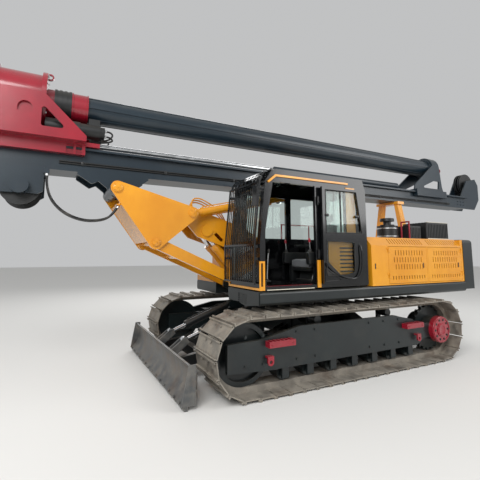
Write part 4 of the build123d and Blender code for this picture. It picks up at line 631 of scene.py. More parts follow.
    def hose(self, points: Sequence[Point], radius: float, sharp: bool = False) -> Piece:
        """A round bar, pipe or fixed hose along a smooth line.

        Args:
            points: the control points of its line.
            radius: its radius.
            sharp: whether its corners are mitred, as on a welded rail.

        Returns:
            The new piece, as a mesh with closed ends.
        """
        line = self.line(points, radius, "POLY" if sharp else "NURBS")
        self.only(line)
        bpy.ops.object.convert(target="MESH")
        return bpy.context.object

    def line(self, points: Sequence[Point], radius: float, kind: str = "NURBS") -> Piece:
        """A round curve along control points.

        Args:
            points: the control points.
            radius: the radius of what follows the line.
            kind: the type of its spline.

        Returns:
            The new curve.
        """
        data = bpy.data.curves.new("line", "CURVE")
        data.dimensions = "3D"
        data.resolution_u = 8
        data.bevel_depth = radius
        data.bevel_resolution = 3
        data.use_fill_caps = True
        spline = data.splines.new(kind)
        spline.points.add(len(points) - 1)
        for point, place in zip(spline.points, points):
            point.co = (*place, 1.0)
        if kind == "NURBS":
            spline.order_u = 3
            spline.use_endpoint_u = True
        piece = bpy.data.objects.new("line", data)
        bpy.context.scene.collection.objects.link(piece)
        return piece

    def copied(self, master: Piece, places: Iterable[Matrix]) -> list[Piece]:
        """Copies a piece to several places, each with its own mesh, and removes it.

        Args:
            master: the piece that repeats, modelled at the origin.
            places: one matrix for each copy.

        Returns:
            The copies.
        """
        made = []
        for place in places:
            copy = master.copy()
            copy.data = master.data.copy()
            copy.data.transform(place)
            bpy.context.scene.collection.objects.link(copy)
            made.append(copy)
        bpy.data.objects.remove(master)
        return made

    def bolts(self, spots: Iterable[Spot], size: float = 0.012) -> list[Piece]:
        """Hexagon bolt heads on washers.

        Args:
            spots: for each bolt, where it sits and the direction in which it stands out.
            size: the head's radius over its corners.

        Returns:
            The bolts.
        """
        head = self.disc((0, 0, 0.2 * size), (0, 0, 1), size, 0.7 * size, edge=0.08 * size, sides=6)
        washer = self.disc((0, 0, 0), (0, 0, 1), 1.45 * size, 0.2 * size, edge=0.0, sides=12)
        master = self.merged([head, washer])
        return self.copied(master, [self.stand(place, way) for place, way in spots])

    def ring_spots(self, centre: Point, way: Axis, radius: float, count: int, out: int = 1) -> list[Spot]:
        """Places for bolts on a circle.

        Args:
            centre: the circle's middle.
            way: the axis that the circle lies round.
            radius: the circle's radius.
            count: the number of places.
            out: 1 or -1, the sense of the axis in which the bolts stand out.

        Returns:
            Pairs of a place and a direction.
        """
        direction = Vector(way.value)
        first = Vector((0, 0, 1)) if way is not Axis.Z else Vector((1, 0, 0))
        second = direction.cross(first)
        spots = []
        for number in range(count):
            turn = 2 * math.pi * (number + 0.5) / count
            place = Vector(centre) + radius * (first * math.cos(turn) + second * math.sin(turn))
            spots.append((tuple(place), tuple(direction * out)))
        return spots

    def merged(self, pieces: Sequence[Piece]) -> Piece:
        """Joins several meshes into the first of them.

        Args:
            pieces: the meshes.

        Returns:
            The joined piece.
        """
        self.clear()
        for piece in pieces:
            piece.select_set(True)
        bpy.context.view_layer.objects.active = pieces[0]
        if len(pieces) > 1:
            bpy.ops.object.join()
        return bpy.context.view_layer.objects.active

    def hand_over(self, name: str, pieces: Sequence[Piece], finish: str, body: str, slot: str = "") -> None:
        """Joins raw pieces into one finished piece that rides on a body.

        Args:
            name: the finished piece's name.
            pieces: the raw pieces.
            finish: the name of its finish.
            body: the body that it rides on.
            slot: a material slot's name; not used.
        """
        piece = self.merged(pieces)
        piece.name = name
        piece.data.name = name
        piece.data.materials.clear()
        piece.data.materials.append(self.finishes[finish])
        bpy.ops.object.shade_smooth_by_angle(angle=SMOOTH_ANGLE)
        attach(piece, body)
        LOG.info("%s: %d faces on %s", name, len(piece.data.polygons), body)


@dataclass
class Dressing:
    """What the dressing of every sub-assembly has: the workshop that makes its pieces."""

    bench: Workshop


@dataclass
class PhotoCamera:
    """The camera where the photographer stood, left of the machine's front, looking back and up."""

    place: Point = (4.19, 5.66, 1.79)
    heading: Point = (-0.4617, -0.887, 0.0)
    pitch_deg: float = 6.8
    lens: float = 26.6
    shift_y: float = -0.055
    clip_end: float = 200.0

    def build(self) -> None:
        """Creates the camera and makes it the scene's own."""
        data = bpy.data.cameras.new("photo_camera")
        data.lens = self.lens
        data.shift_y = self.shift_y
        data.clip_end = self.clip_end
        camera = bpy.data.objects.new("photo_camera", data)
        bpy.context.scene.collection.objects.link(camera)
        level = Vector(self.heading).normalized()
        pitch = math.radians(self.pitch_deg)
        aim = level * math.cos(pitch) + Vector((0, 0, math.sin(pitch)))
        camera.location = self.place
        camera.rotation_euler = aim.to_track_quat("-Z", "Y").to_euler()
        bpy.context.scene.camera = camera


@dataclass
class Studio:
    """A pale floor under a plain bright room, with three soft lamps."""

    floor_size: float = 120.0
    world_level: float = 0.6
    aim: Point = (0, 0, 1.5)
    # Each lamp's name, place, size and power
    lamps: tuple[tuple[str, Point, float, float], ...] = (
        ("key_lamp", (9.0, 9.0, 9.0), 7.0, 1500.0),
        ("fill_lamp", (-8.0, 9.0, 7.0), 8.0, 650.0),
        ("back_lamp", (-2.0, -10.0, 9.0), 8.0, 600.0),
    )

    def build(self) -> None:
        """Makes the floor, the world and the lamps."""
        bpy.ops.object.select_all(action="DESELECT")
        bpy.ops.mesh.primitive_plane_add(size=self.floor_size)
        floor = bpy.context.object
        floor.name = "studio_floor"
        floor.data.materials.append(Plain("floor_paint", "#d9d8d5").build())
        world = bpy.data.worlds.new("studio_world")
        bpy.context.scene.world = world
        world.use_nodes = True
        back = world.node_tree.nodes["Background"]
        back.inputs["Color"].default_value = to_linear("#f2f3f4")
        back.inputs["Strength"].default_value = self.world_level
        for name, place, size, power in self.lamps:
            data = bpy.data.lights.new(name, "AREA")
            data.size = size
            data.energy = power
            lamp = bpy.data.objects.new(name, data)
            bpy.context.scene.collection.objects.link(lamp)
            lamp.location = place
            lamp.rotation_euler = (Vector(self.aim) - Vector(place)).to_track_quat("-Z", "Y").to_euler()


@dataclass
class MastHoses(Dressing):
    """Four hoses in a row that hang between the mast's underside and the triangle frame."""

    lanes: tuple[float, ...] = (0.265, 0.305, 0.345, 0.385)
    route: Outline = (
        (4.336, 2.880), (4.336, 2.640), (4.150, 2.385), (3.870, 2.268),
        (3.600, 2.290), (3.475, 2.380), (3.410, 2.500),
    )
    radius: float = 0.016
    cuff_wall: float = 0.0035

    def build(self) -> None:
        """Lays the hoses and their crimped ends."""
        bench = self.bench
        for number, y in enumerate(self.lanes, 1):
            points = [(x, y, z) for x, z in self.route]
            ghost = bench.line(points, 0.0)
            mesh = bpy.data.meshes.new_from_object(ghost)
            path = [tuple(vertex.co) for vertex in mesh.vertices]
            bpy.data.objects.remove(ghost)
            length = sum((Vector(b) - Vector(a)).length for a, b in zip(path[:-1], path[1:]))
            tube = bench.hose(points, self.radius)
            tube.name = f"mast_hose_{number}"
            tube.data.materials.clear()
            tube.data.materials.append(bench.finishes["hose_rubber"])
            bench.only(tube)
            bpy.ops.object.shade_smooth_by_angle(angle=SMOOTH_ANGLE)
            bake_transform(tube)
            if number == 1:
                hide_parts("mast_hoses")
            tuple(points[0])
        self.cuffs("upper", Vector((4.336, 0, 2.846)), Vector((0, 0, 1)), 0.034, "mast_frame")
        low, end = (Vector((x, 0, z)) for x, z in self.route[-2:])
        way = (end - low).normalized()
        self.cuffs("lower", end - way * 0.038, way, 0.036, "triangle")

    def cuffs(self, name: str, start: Vector, way: Vector, length: float, body: str) -> None:
        """Crimps one end of every hose.

        Args:
            name: which end it is.
            start: where a cuff begins, on the machine's middle plane.
            way: the hose's direction there.
            length: the cuff's length.
            body: the body that the cuffs ride on.
        """
        bench = self.bench
        wide = self.radius + self.cuff_wall
        rings = [bench.tube((start.x, y, start.z), way, wide, self.radius, length) for y in self.lanes]
        bench.hand_over(f"hose_cuffs_{name}", rings, "drawn_steel", body)


@dataclass
class Undercarriage(Dressing):
    """Dressing of the crawler chains, their frames and the red fittings."""

    gauge: float = 1.35
    shoes: int = 47
    shoe_half: float = 0.35
    idler_x: float = 1.95
    sprocket_x: float = -1.85
    band_radius: float = 0.492
    axle_z: float = 0.52
    frame_out: float = 1.56
    bolt_xs: tuple[float, ...] = (1.98, 1.72, 1.18, 0.86, -0.2, -0.52, -0.86)
    bolt_zs: Pair = (0.40, 0.76)
    hub_out: float = 1.64
    step_xs: Pair = (1.475, -1.15)
    step_middle: float = 1.6125
    step_face: float = 1.665
    tread_offsets: tuple[float, ...] = (-0.15, -0.09, -0.03, 0.03, 0.09, 0.15)

    def along_chain(self, run: float) -> Matrix:
        """A place at a distance along the chain.

        Args:
            run: the distance from the point over the sprocket, forward along the top.

        Returns:
            A matrix whose X goes along the chain and whose Z stands out of it.
        """
        straight = self.idler_x - self.sprocket_x
        half_turn = math.pi * self.band_radius
        back = run - straight - half_turn
        if run < straight:
            x, turn = self.sprocket_x + run, 0.0
        elif back < 0:
            x, turn = self.idler_x, (run - straight) / self.band_radius
        elif back < straight:
            x, turn = self.idler_x - back, math.pi
        else:
            x, turn = self.sprocket_x, math.pi + (back - straight) / self.band_radius
        axle = Matrix.Translation((x, 0, self.axle_z)) @ Matrix.Rotation(turn, 4, "Y")
        return axle @ Matrix.Translation((0, 0, self.band_radius))

    def shoe_fittings(self) -> list[Piece]:
        """One grouser bar and its four bolts, round the origin.

        Returns:
            The raw pieces.
        """
        bench = self.bench
        bar = bench.wedge((-0.012, -self.shoe_half, -0.004), (0.012, self.shoe_half, 0.022), 0, 0.45, 0.002)
        spots = [((x, y, -0.001), (0, 0, 1)) for x in (-0.045, 0.045) for y in (-0.085, 0.085)]
        return [bar, *bench.bolts(spots, 0.011)]

    def build(self) -> None:
        """Makes the pieces of both sides."""
        bench = self.bench
        master = bench.merged(self.shoe_fittings())
        loop = 2 * (self.idler_x - self.sprocket_x) + 2 * math.pi * self.band_radius
        places = [
            Matrix.Translation((0, side.value * self.gauge, 0)) @ self.along_chain(loop * number / self.shoes)
            for side in Side
            for number in range(self.shoes)
        ]
        shoes = bench.copied(master, places)
        bench.hand_over("shoe_fittings", shoes, "soiled_track_steel", "undercarriage", "worn_steel")
        bolts, grooves, treads, marks = [], [], [], []
        for side in Side:
            out = side.value
            face = (0, out, 0)
            spots = [((x, out * self.frame_out, z), face) for x in self.bolt_xs for z in self.bolt_zs]
            bolts += bench.bolts(spots, 0.016)
            hub = (self.sprocket_x, out * self.hub_out, self.axle_z)
            bolts += bench.bolts(bench.ring_spots(hub, Axis.Y, 0.165, 10, out), 0.014)
            grooves.append(bench.disc(hub, face, 0.118, 0.012, steps=((0.018, 0.008), (0.03, -0.006)), edge=0.0015))
            grooves.append(bench.tube(hub, face, 0.214, 0.196, 0.010))
            for x in self.step_xs:
                for offset in self.tread_offsets:
                    low = (x + offset - 0.010, out * self.step_middle - 0.045, 0.688)
                    treads.append(bench.block(low, (low[0] + 0.020, low[1] + 0.090, 0.697), 0.002))
                marks += bench.bolts([((x + o, out * self.step_face, 0.651), face) for o in (-0.165, 0.165)], 0.010)
        bench.hand_over("frame_bolts", bolts, "deck_enamel", "undercarriage")
        bench.hand_over("cover_rings", grooves, "red_enamel", "undercarriage")
        bench.hand_over("step_treads", treads, "red_enamel", "undercarriage")
        bench.hand_over("step_bolts", marks, "red_enamel", "undercarriage")


@dataclass(frozen=True)
class Ram:
    """One pair of hydraulic cylinders, left and right, as the frame holds them."""

    name: str
    foot: Pair
    eye: Pair
    lane: float
    radius: float
    gland: float
    body: str
    finish: str


RAMS: tuple[Ram, ...] = (
    Ram("luff", (1.15, 1.23), (1.99, 2.20), 0.125, 0.075, 1.000, "luff_barrel_pair", "yellow_enamel"),
    Ram("mast", (2.30, 2.45), (0.20, 2.92), 0.350, 0.064, 1.962, "mast_barrel_pair", "yellow_enamel"),
    Ram("blade", (1.26, 0.93), (2.37, 0.52), 0.350, 0.062, 0.923, "blade_barrel_pair", "black_enamel"),
)


@dataclass
class Cylinders(Dressing):
    """Glands, ports and supply pipes on the barrels of the hydraulic cylinders."""

    pipe_radius: float = 0.009
    pipe_gap: float = 0.018
    collar: float = 0.009

    def barrel(self, ram: Ram, side: Side) -> list[Piece]:
        """Dresses one barrel.

        Args:
            ram: the pair that it belongs to.
            side: its side.

        Returns:
            The raw pieces.
        """
        bench = self.bench
        y = side.value * ram.lane
        start = Vector((ram.foot[0], y, ram.foot[1]))
        way = (Vector((ram.eye[0], y, ram.eye[1])) - start).normalized()
        up = Vector((-way.z, 0, way.x)) if way.x > 0 else Vector((way.z, 0, -way.x))
        low, high = start + way * 0.20, start + way * (ram.gland - 0.06)
        off = up * (ram.radius + self.pipe_gap)
        route = [low + up * ram.radius * 0.9, low + off, low + off + way * 0.05, high + off - way * 0.05, high + off]
        route.append(high + up * ram.radius * 0.9)
        pieces = [bench.hose(route, self.pipe_radius)]
        wide, bore = ram.radius + self.collar, ram.radius - 0.003
        for run, outer, length in (
            (ram.gland - 0.10, wide, 0.07),
            (0.17, wide - 0.003, 0.05),
            (ram.gland * 0.38, ram.radius + 0.004, 0.022),
            (ram.gland * 0.66, ram.radius + 0.004, 0.022),
        ):
            pieces.append(bench.tube(start + way * run, way, outer, bore, length))
        for place in (low, high):
            pieces.append(bench.disc(place + up * (ram.radius - 0.006), up, 0.018, 0.020, sides=6))
        return pieces

    def build(self) -> None:
        """Dresses all the barrels."""
        bench = self.bench
        for ram in RAMS:
            pieces = [piece for side in Side for piece in self.barrel(ram, side)]
            bench.hand_over(f"{ram.name}_barrel_pipes", pieces, ram.finish, ram.body)


@dataclass
class Linkage(Dressing):
    """Pin caps, bolts, clipped hoses and pipes on the boom, the links and the triangle."""

    boom_foot: Pair = (0.75, 1.76)
    boom_head: Pair = (2.30, 2.45)
    link_head: Pair = (2.87, 1.99)
    mast_pivot: Pair = (3.44, 2.76)
    plate_out: float = 0.474
    # How far along the boom and how far under its pin line the hoses run
    under_route: Outline = (
        (0.30, 0.085), (0.42, 0.150), (0.62, 0.130), (0.86, 0.135),
        (1.10, 0.130), (1.28, 0.140), (1.38, 0.090),
    )
    # The loops on the boom's head: X, how far a loop leans out, Z, and whether a loop's own rise is added
    head_route: tuple[tuple[float, float, float, int], ...] = (
        (1.62, 0.0, 2.355, 0), (1.70, 0.0, 2.47, 1), (1.92, 0.01, 2.60, 1), (2.10, 0.02, 2.68, 1),
        (2.24, 0.03, 2.66, 1), (2.25, 0.03, 2.58, 0), (2.17, 0.02, 2.545, 0), (2.08, 0.01, 2.50, 0),
    )

    def cap(self, x: float, z: float, y: float, radius: float, out: int) -> list[Piece]:
        """A pin's retaining plate with its nipple and bolts.

        Args:
            x: the pin's X.
            z: the pin's Z.
            y: the face on which the plate sits.
            radius: the plate's radius.
            out: 1 or -1, the side to which it faces.

        Returns:
            The raw pieces.
        """
        bench = self.bench
        face = (0, out, 0)
        plate = bench.disc((x, y, z), face, radius, 0.010, steps=((0.2 * radius, 0.004),), edge=0.002)
        nipple = bench.disc((x, y + out * 0.012, z), face, 0.008, 0.016, sides=12, edge=0.001)
        spots = bench.ring_spots((x, y + out * 0.010, z), Axis.Y, 0.8 * radius, 4, out)
        return [plate, nipple, *bench.bolts(spots, 0.010)]

    def build(self) -> None:
        """Makes the linkage's fittings."""
        bench = self.bench
        caps = []
        for side in Side:
            for (x, z), radius in ((self.mast_pivot, 0.066), (self.link_head, 0.056), (self.boom_head, 0.066)):
                caps += self.cap(x, z, side.value * self.plate_out, radius, side.value)
        bench.hand_over("triangle_pin_caps", caps, "yellow_enamel", "triangle")
        heading = (Vector((*self.boom_head, 0)) - Vector((*self.boom_foot, 0))).normalized()
        along = Vector((heading.x, 0, heading.y))
        under = Vector((heading.y, 0, -heading.x))
        foot = Vector((self.boom_foot[0], 0, self.boom_foot[1]))
        hoses, clips = [], []
        for y in (-0.028, 0.0, 0.028):
            points = [foot + along * run + under * off for run, off in self.under_route]
            hoses.append(bench.hose([(p.x, y, p.z) for p in points], 0.013))
        bench.hand_over("boom_hoses", hoses, "hose_rubber", "boom_arm", "hose_rubber")
        for run in (0.62, 1.10):
            spot = foot + along * run + under * 0.118
            low = (spot.x - 0.02, -0.043, spot.z - 0.012)
            clips.append(bench.block(low, (spot.x + 0.02, 0.043, spot.z + 0.012), 0.004))
        bench.hand_over("boom_hose_clips", clips, "black_enamel", "boom_arm")
        loops = []
        for rise, y in ((0.0, 0.10), (0.03, 0.145), (0.06, 0.19)):
            route = [(x, y + lean, z + rise * added) for x, lean, z, added in self.head_route]
            loops.append(bench.hose(route, 0.011))
        bench.hand_over("boom_head_hoses", loops, "yellow_enamel", "boom_arm")


@dataclass
class Blade(Dressing):
    """Bolts of the dozer blade's cutting edge."""

    half: float = 1.545
    margin: float = 0.12
    count: int = 14

    def build(self) -> None:
        """Makes a row of bolts along the cutting edge."""
        bench = self.bench
        low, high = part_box("blade")
        step = (2 * self.half - 2 * self.margin) / (self.count - 1)
        ys = [-self.half + self.margin + number * step for number in range(self.count)]
        spots = [((high.x - 0.012, y, low.z + 0.075), (1, 0, 0)) for y in ys]
        bench.hand_over("edge_bolts", bench.bolts(spots, 0.014), "blade_steel", "dozer_blade")


@dataclass
class Cab(Dressing):
    """Seals, latches, handle, wiper, lamp lens, mirror glass and red sill strip of the cab, with a pale line of
    painted highlight on the sill.
    """

    door_out: float = 1.524
    # The X of a point on the shut door and on the open one add up to this
    door_sum: float = 1.350
    latch_spots: Outline = ((0.551, 2.405), (-0.068, 2.408))
    handle: Outline = (
        (0.600, 1.690), (0.540, 1.600), (0.324, 1.485), (0.072, 1.431),
        (-0.062, 1.475), (-0.127, 1.686), (-0.102, 1.960),
    )
    # The outlines of the door's panes while it is shut
    panes: tuple[Outline, ...] = (
        ((0.782, 2.140), (1.514, 2.150), (1.412, 2.800), (0.782, 2.800)),
        ((0.782, 1.500), (1.150, 1.500), (1.340, 1.535), (1.345, 2.000), (0.782, 2.015)),
    )

    def build(self) -> None:
        """Makes the cab's small pieces."""
        self.door()
        self.front()

    def door(self) -> None:
        """The open door's handle, latches and window seals."""
        bench = self.bench
        out = self.door_out
        bar = [(x, out + 0.030, z) for x, z in self.handle]
        ends = [(x, out - 0.004, z) for x, z in (self.handle[0], self.handle[-1])]
        pieces = [bench.hose([ends[0], *bar, ends[1]], 0.011)]
        pieces += [bench.tube((x, y + 0.002, z), (0, 1, 0), 0.02, 0.006, 0.008) for x, y, z in ends]
        for x, z in self.latch_spots:
            pieces.append(bench.block((x - 0.035, out - 0.012, z - 0.02), (x + 0.035, out + 0.014, z + 0.02), 0.006))
            pieces.append(bench.disc((x, out + 0.008, z), (0, 1, 0), 0.012, 0.014, sides=16))
        corner = bench.block((0.27, 1.486, 1.495), (0.575, out - 0.003, 1.735), 0.002)
        bench.only(corner)
        bpy.ops.object.mode_set(mode="EDIT")
        bpy.ops.mesh.select_all(action="SELECT")
        cut = {"plane_co": (0.302, 1.5, 1.50), "plane_no": (-0.64, 0, 0.768), "use_fill": True, "clear_outer": True}
        bpy.ops.mesh.bisect(**cut)
        bpy.ops.object.mode_set(mode="OBJECT")
        pieces.append(corner)
        rim = [(x, out + 0.002, z) for x, z in ((0.600, 1.600), (0.300, 1.425), (0.610, 1.415), (0.600, 1.600))]
        pieces.append(bench.hose(rim, 0.006, sharp=True))
        bench.hand_over("door_handle", pieces, "cab_enamel", "cab_door_leaf")
        seals = []
        for outline in self.panes:
            points = [(self.door_sum - x, out + 0.001, z) for x, z in outline]
            seals.append(bench.hose([*points, points[0]], 0.008, sharp=True))
        bench.hand_over("door_pane_seals", seals, "seal_rubber", "cab_door_leaf")

    def front(self) -> None:
        """The wiper, the lamp lens, the mirror glass, the red strip on the sill and a pale line of painted highlight
        below it.
        """
        bench = self.bench
        wiper = [
            bench.disc((1.690, 0.95, 2.68), (1, 0, 0.05), 0.022, 0.02),
            bench.hose([(1.706, 0.95, 2.68), (1.715, 0.90, 2.45), (1.722, 0.82, 2.20)], 0.006),
            bench.hose([(1.712, 0.84, 2.48), (1.722, 0.82, 2.20), (1.730, 0.80, 1.96)], 0.007),
        ]
        bench.hand_over("wiper", wiper, "black_enamel", "upper")
        rim = ((0.005, -0.003), (0.009, 0.003))
        for name, piece, finish in (
            ("mirror_glass", bench.block((1.768, 1.452, 2.482), (1.7745, 1.548, 2.723), 0.003), "mirror_silvering"),
            ("lamp_lens", bench.disc((1.588, 0.459, 2.846), (1, 0, 0), 0.027, 0.009, steps=rim), "lamp_lens"),
            ("sill_strip", bench.block((0.76, 1.392, 1.345), (1.56, 1.403, 1.372), 0.002), "red_enamel"),
            # Painted highlight: a pale line along the cab's lower edge
            ("sill_edge_highlight", bench.block((0.76, 1.447, 1.318), (1.58, 1.4535, 1.328), 0.001), "edge_highlight_paint"),
        ):
            bench.hand_over(name, [piece], finish, "upper")


@dataclass
class Seat(Dressing):
    """The driver's seat with padded cushions, its base, its consoles, levers and pedals."""

    middle_y: float = 0.975
    floor: float = 1.37
    cushion_x: Pair = (0.12, 0.68)
    lean: float = -0.13
    swelling: float = 0.014
    frames: int = 20
    border: float = 0.045
    # Blocks of the base and of one console: X from and to, half the width, height from and to, rounded edge
    base: tuple[tuple[float, ...], ...] = (
        (0.15, 0.60, 0.21, 0.0, 0.05, 0.01), (0.14, 0.64, 0.23, 0.18, 0.24, 0.012),
        (0.02, 0.06, 0.05, 0.80, 1.02, 0.008),
    )
    console: tuple[tuple[float, ...], ...] = (
        (0.15, 0.62, 0.05, 0.0, 0.30, 0.02), (0.18, 0.76, 0.05, 0.29, 0.48, 0.025),
        (0.22, 0.52, 0.035, 0.56, 0.61, 0.02), (0.24, 0.29, 0.02, 0.47, 0.57, 0.006),
    )

    def pad(self, low: Point, high: Point, name: str, face: Axis, lean: float) -> Piece:
        """A soft cushion with a rolled border and a stitched, slightly domed middle.

        Args:
            low: its lowest corner.
            high: its highest corner.
            name: its name.
            face: the direction that its stitched face looks in.
            lean: its lean about its lower front edge, in radians.

        Returns:
            The finished cushion.
        """
        bench = self.bench
        inner_low = Vector(low) + Vector((1, 1, 1)) * self.swelling
        inner_high = Vector(high) - Vector((1, 1, 1)) * self.swelling
        bench.clear()
        centre = (inner_low + inner_high) / 2
        bpy.ops.mesh.primitive_cube_add(size=1.0, location=centre, scale=tuple(inner_high - inner_low))
        piece = bench.settled()
        bench.applied(piece, "BEVEL", width=0.022, segments=3)
        bench.applied(piece, "REMESH", mode="VOXEL", voxel_size=0.009)
        piece.name = name
        self.swell(piece)
        self.stitch(piece, centre, (inner_high - inner_low) / 2, Vector(face.value))
        bench.applied(piece, "SUBSURF", levels=1, render_levels=1)
        if lean:
            turn = Matrix.Translation(low) @ Matrix.Rotation(lean, 4, "Y")
            piece.data.transform(turn @ Matrix.Translation(-Vector(low)))
        piece.data.materials.clear()
        piece.data.materials.append(bench.finishes["seat_cloth"])
        bench.only(piece)
        bpy.ops.object.shade_smooth()
        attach(piece, "upper")
        return piece

    def swell(self, piece: Piece) -> None:
        """Blows a cushion up from inside as cloth, with each point's move capped.

        Args:
            piece: the remeshed cushion.
        """
        bench = self.bench
        before = [vertex.co.copy() for vertex in piece.data.vertices]
        cloth = piece.modifiers.new("swell", "CLOTH")
        cloth.settings.quality = 4
        cloth.settings.use_pressure = True
        cloth.settings.uniform_pressure_force = 4.0
        cloth.settings.effector_weights.gravity = 0.0
        for frame_number in range(1, self.frames + 1):
            bpy.context.scene.frame_set(frame_number)
        bench.only(piece)
        bpy.ops.object.modifier_apply(modifier="swell")
        bpy.context.scene.frame_set(1)
        for vertex, start in zip(piece.data.vertices, before):
            move = vertex.co - start
            if move.length > self.swelling:
                vertex.co = start + move * (self.swelling / move.length)

    def stitch(self, piece: Piece, centre: Vector, half: Vector, outward: Vector) -> None:
        """Draws the sewn border and two cross seams into a cushion's face.

        Args:
            piece: the swollen cushion.
            centre: its middle.
            half: half its sizes.
            outward: the direction that its face looks in.
        """
        wide, long = [axis for axis in range(3) if abs(outward[axis]) < 0.5]
        border = (half[wide] - self.border, half[long] - self.border)
        for vertex in piece.data.vertices:
            if vertex.normal.dot(outward) < 0.5:
                continue
            across = abs(vertex.co[wide] - centre[wide]) - border[0]
            along = abs(vertex.co[long] - centre[long]) - border[1]
            near = abs(max(across, along))
            depth = 0.007 * math.exp(-((near / 0.007) ** 2))
            if max(across, along) < 0:
                seam = abs(abs(vertex.co[long] - centre[long]) - border[1] / 3)
                depth = max(depth, 0.005 * math.exp(-((seam / 0.007) ** 2)))
            vertex.co -= outward * depth

    def slabs(self, rows: tuple[tuple[float, ...], ...], y: float) -> list[Piece]:
        """Blocks on the middle plane at y, one for each row of measures."""
        z, block = self.floor, self.bench.block
        return [block((x0, y - w, z + z0), (x1, y + w, z + z1), edge) for x0, x1, w, z0, z1, edge in rows]

    def build(self) -> None:
        """Makes the seat from its cushion to its head rest, then the hard parts round it."""
        bench = self.bench
        y, z = self.middle_y, self.floor
        x0, x1 = self.cushion_x
        cushion = self.pad((x0, y - 0.26, z + 0.23), (x1, y + 0.26, z + 0.37), "seat_cushion", Axis.Z, 0.0)
        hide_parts("seat_and_consoles")
        low, high = (x0 - 0.03, y - 0.24, z + 0.35), (x0 + 0.09, y + 0.24, z + 0.95)
        self.pad(low, high, "seat_back", Axis.X, self.lean)
        low, high = (x0 - 0.10, y - 0.13, z + 0.97), (x0 - 0.01, y + 0.13, z + 1.13)
        self.pad(low, high, "head_rest", Axis.X, self.lean)
        hard = self.slabs(self.base, y)
        hard.append(bench.wedge((0.20, y - 0.17, z + 0.04), (0.56, y + 0.17, z + 0.19), 0, 0.8, 0.01))
        bars, boots, knobs = [], [], []
        for out in (1, -1):
            side, foot = y + out * 0.32, y + out * 0.09
            hard += self.slabs(self.console, side)
            hard += self.slabs(((1.36, 1.44, 0.03, 0.0, 0.04, 0.006),), foot)
            hard.append(bench.wedge((1.30, foot - 0.055, z + 0.035), (1.48, foot + 0.055, z + 0.06), 0, 0.9))
            for centre, way, radius, length, steps, sides in (
                ((0.70, side, z + 0.475), (0, 0, 1), 0.034, 0.02, ((0.006, 0.02), (0.006, 0.015)), 24),
                ((1.34, foot, z + 0.045), (0, 0, 1), 0.030, 0.02, ((0.006, 0.012),), 24),
                ((1.312, foot, z + 0.46), (-0.1, 0, 1), 0.015, 0.06, ((0.003, 0.006),), 20),
            ):
                boots.append(bench.disc(centre, way, radius, length, steps, sides=sides))
            bars.append(bench.hose([(0.70, side, z + 0.50), (0.703, side, z + 0.57), (0.712, side, z + 0.64)], 0.007))
            bars.append(bench.hose([(1.34, foot, z + 0.05), (1.335, foot, z + 0.30), (1.31, foot, z + 0.50)], 0.010))
            dome = ((0.003, 0.010), (0.006, 0.005))
            knobs.append(bench.disc((0.71, side, z + 0.63), (0.12, 0, 1), 0.019, 0.05, dome, sides=24))
        bench.hand_over("seat_base_and_consoles", hard, "black_enamel", "upper", "black_fittings")
        bench.hand_over("lever_bars", bars, "drawn_steel", "upper")
        bench.hand_over("lever_boots_and_grips", boots, "seal_rubber", "upper")
        bench.hand_over("lever_knobs", knobs, "red_enamel", "upper")


@dataclass
class Hood(Dressing):
    """Latches, handles and dark plates of painted louvre shade on the hood and its doors."""

    side: float = 1.45
    joints: Pair = (-0.82, -1.86)
    latch_xs: tuple[float, ...] = (-0.52, -1.74, -2.78)
    latch_z: float = 1.62
    bay: float = 1.04
    slope: float = 0.7313
    rows: Outline = ((1.380, 1.460), (1.550, 1.895))

    def build(self) -> None:
        """Makes the latches and the plates of painted louvre shade."""
        bench = self.bench
        bodies = ("upper", "hood_front_leaf", "hood_rear_leaf")
        for number, (x, body) in enumerate(zip(self.latch_xs, bodies), 1):
            y, z = self.side - 0.002, self.latch_z
            bar = bench.block((x - 0.011, y, z - 0.045), (x + 0.011, y + 0.005, z + 0.045), 0.003)
            key = bench.disc((x, y + 0.003, z - 0.02), (0, 1, 0), 0.007, 0.006, sides=16, edge=0.001)
            bench.hand_over(f"hood_latch_{number}", [bar, key], "black_enamel", body)
            pad = bench.block((x - 0.090, y, z - 0.035), (x - 0.020, y + 0.006, z + 0.035), 0.004)
            bench.hand_over(f"hood_grip_{number}", [pad], "yellow_enamel", body)
        self.shade_louvres()

    def shade_louvres(self) -> None:
        """Painted shade: dark plates behind the louvres of the two doors and of the sloping shoulder, standing for
        the shadow inside.
        """
        bench = self.bench
        bays = (("front", self.joints[0], "hood_front_leaf"), ("rear", self.joints[1], "hood_rear_leaf"))
        y0, y1 = self.side - 0.012, self.side - 0.010
        for name, end, body in bays:
            x0, x1 = end - self.bay + 0.06, end - 0.06
            # Painted shade: a dark plate behind each door's rows of louvres
            shade_plates = [bench.block((x0, y0, low), (x1, y1, high), 0.0005) for low, high in self.rows]
            bench.hand_over(f"hood_screen_{name}", shade_plates, "louvre_shadow", body)
        # Painted shade: dark plates under the louvres of the sloping shoulder on both sides
        shoulder = []
        for side in Side:
            for joint in self.joints:
                plate = bench.block((joint - self.bay + 0.05, -0.001, -0.075), (joint - 0.05, 0.001, 0.075), 0.0005)
                turn = Matrix.Rotation(side.value * self.slope, 4, "X")
                plate.data.transform(Matrix.Translation((0, side.value * 1.377, 2.0305)) @ turn)
                shoulder.append(plate)
        bench.hand_over("shoulder_louvre_shade", shoulder, "louvre_shadow", "upper")


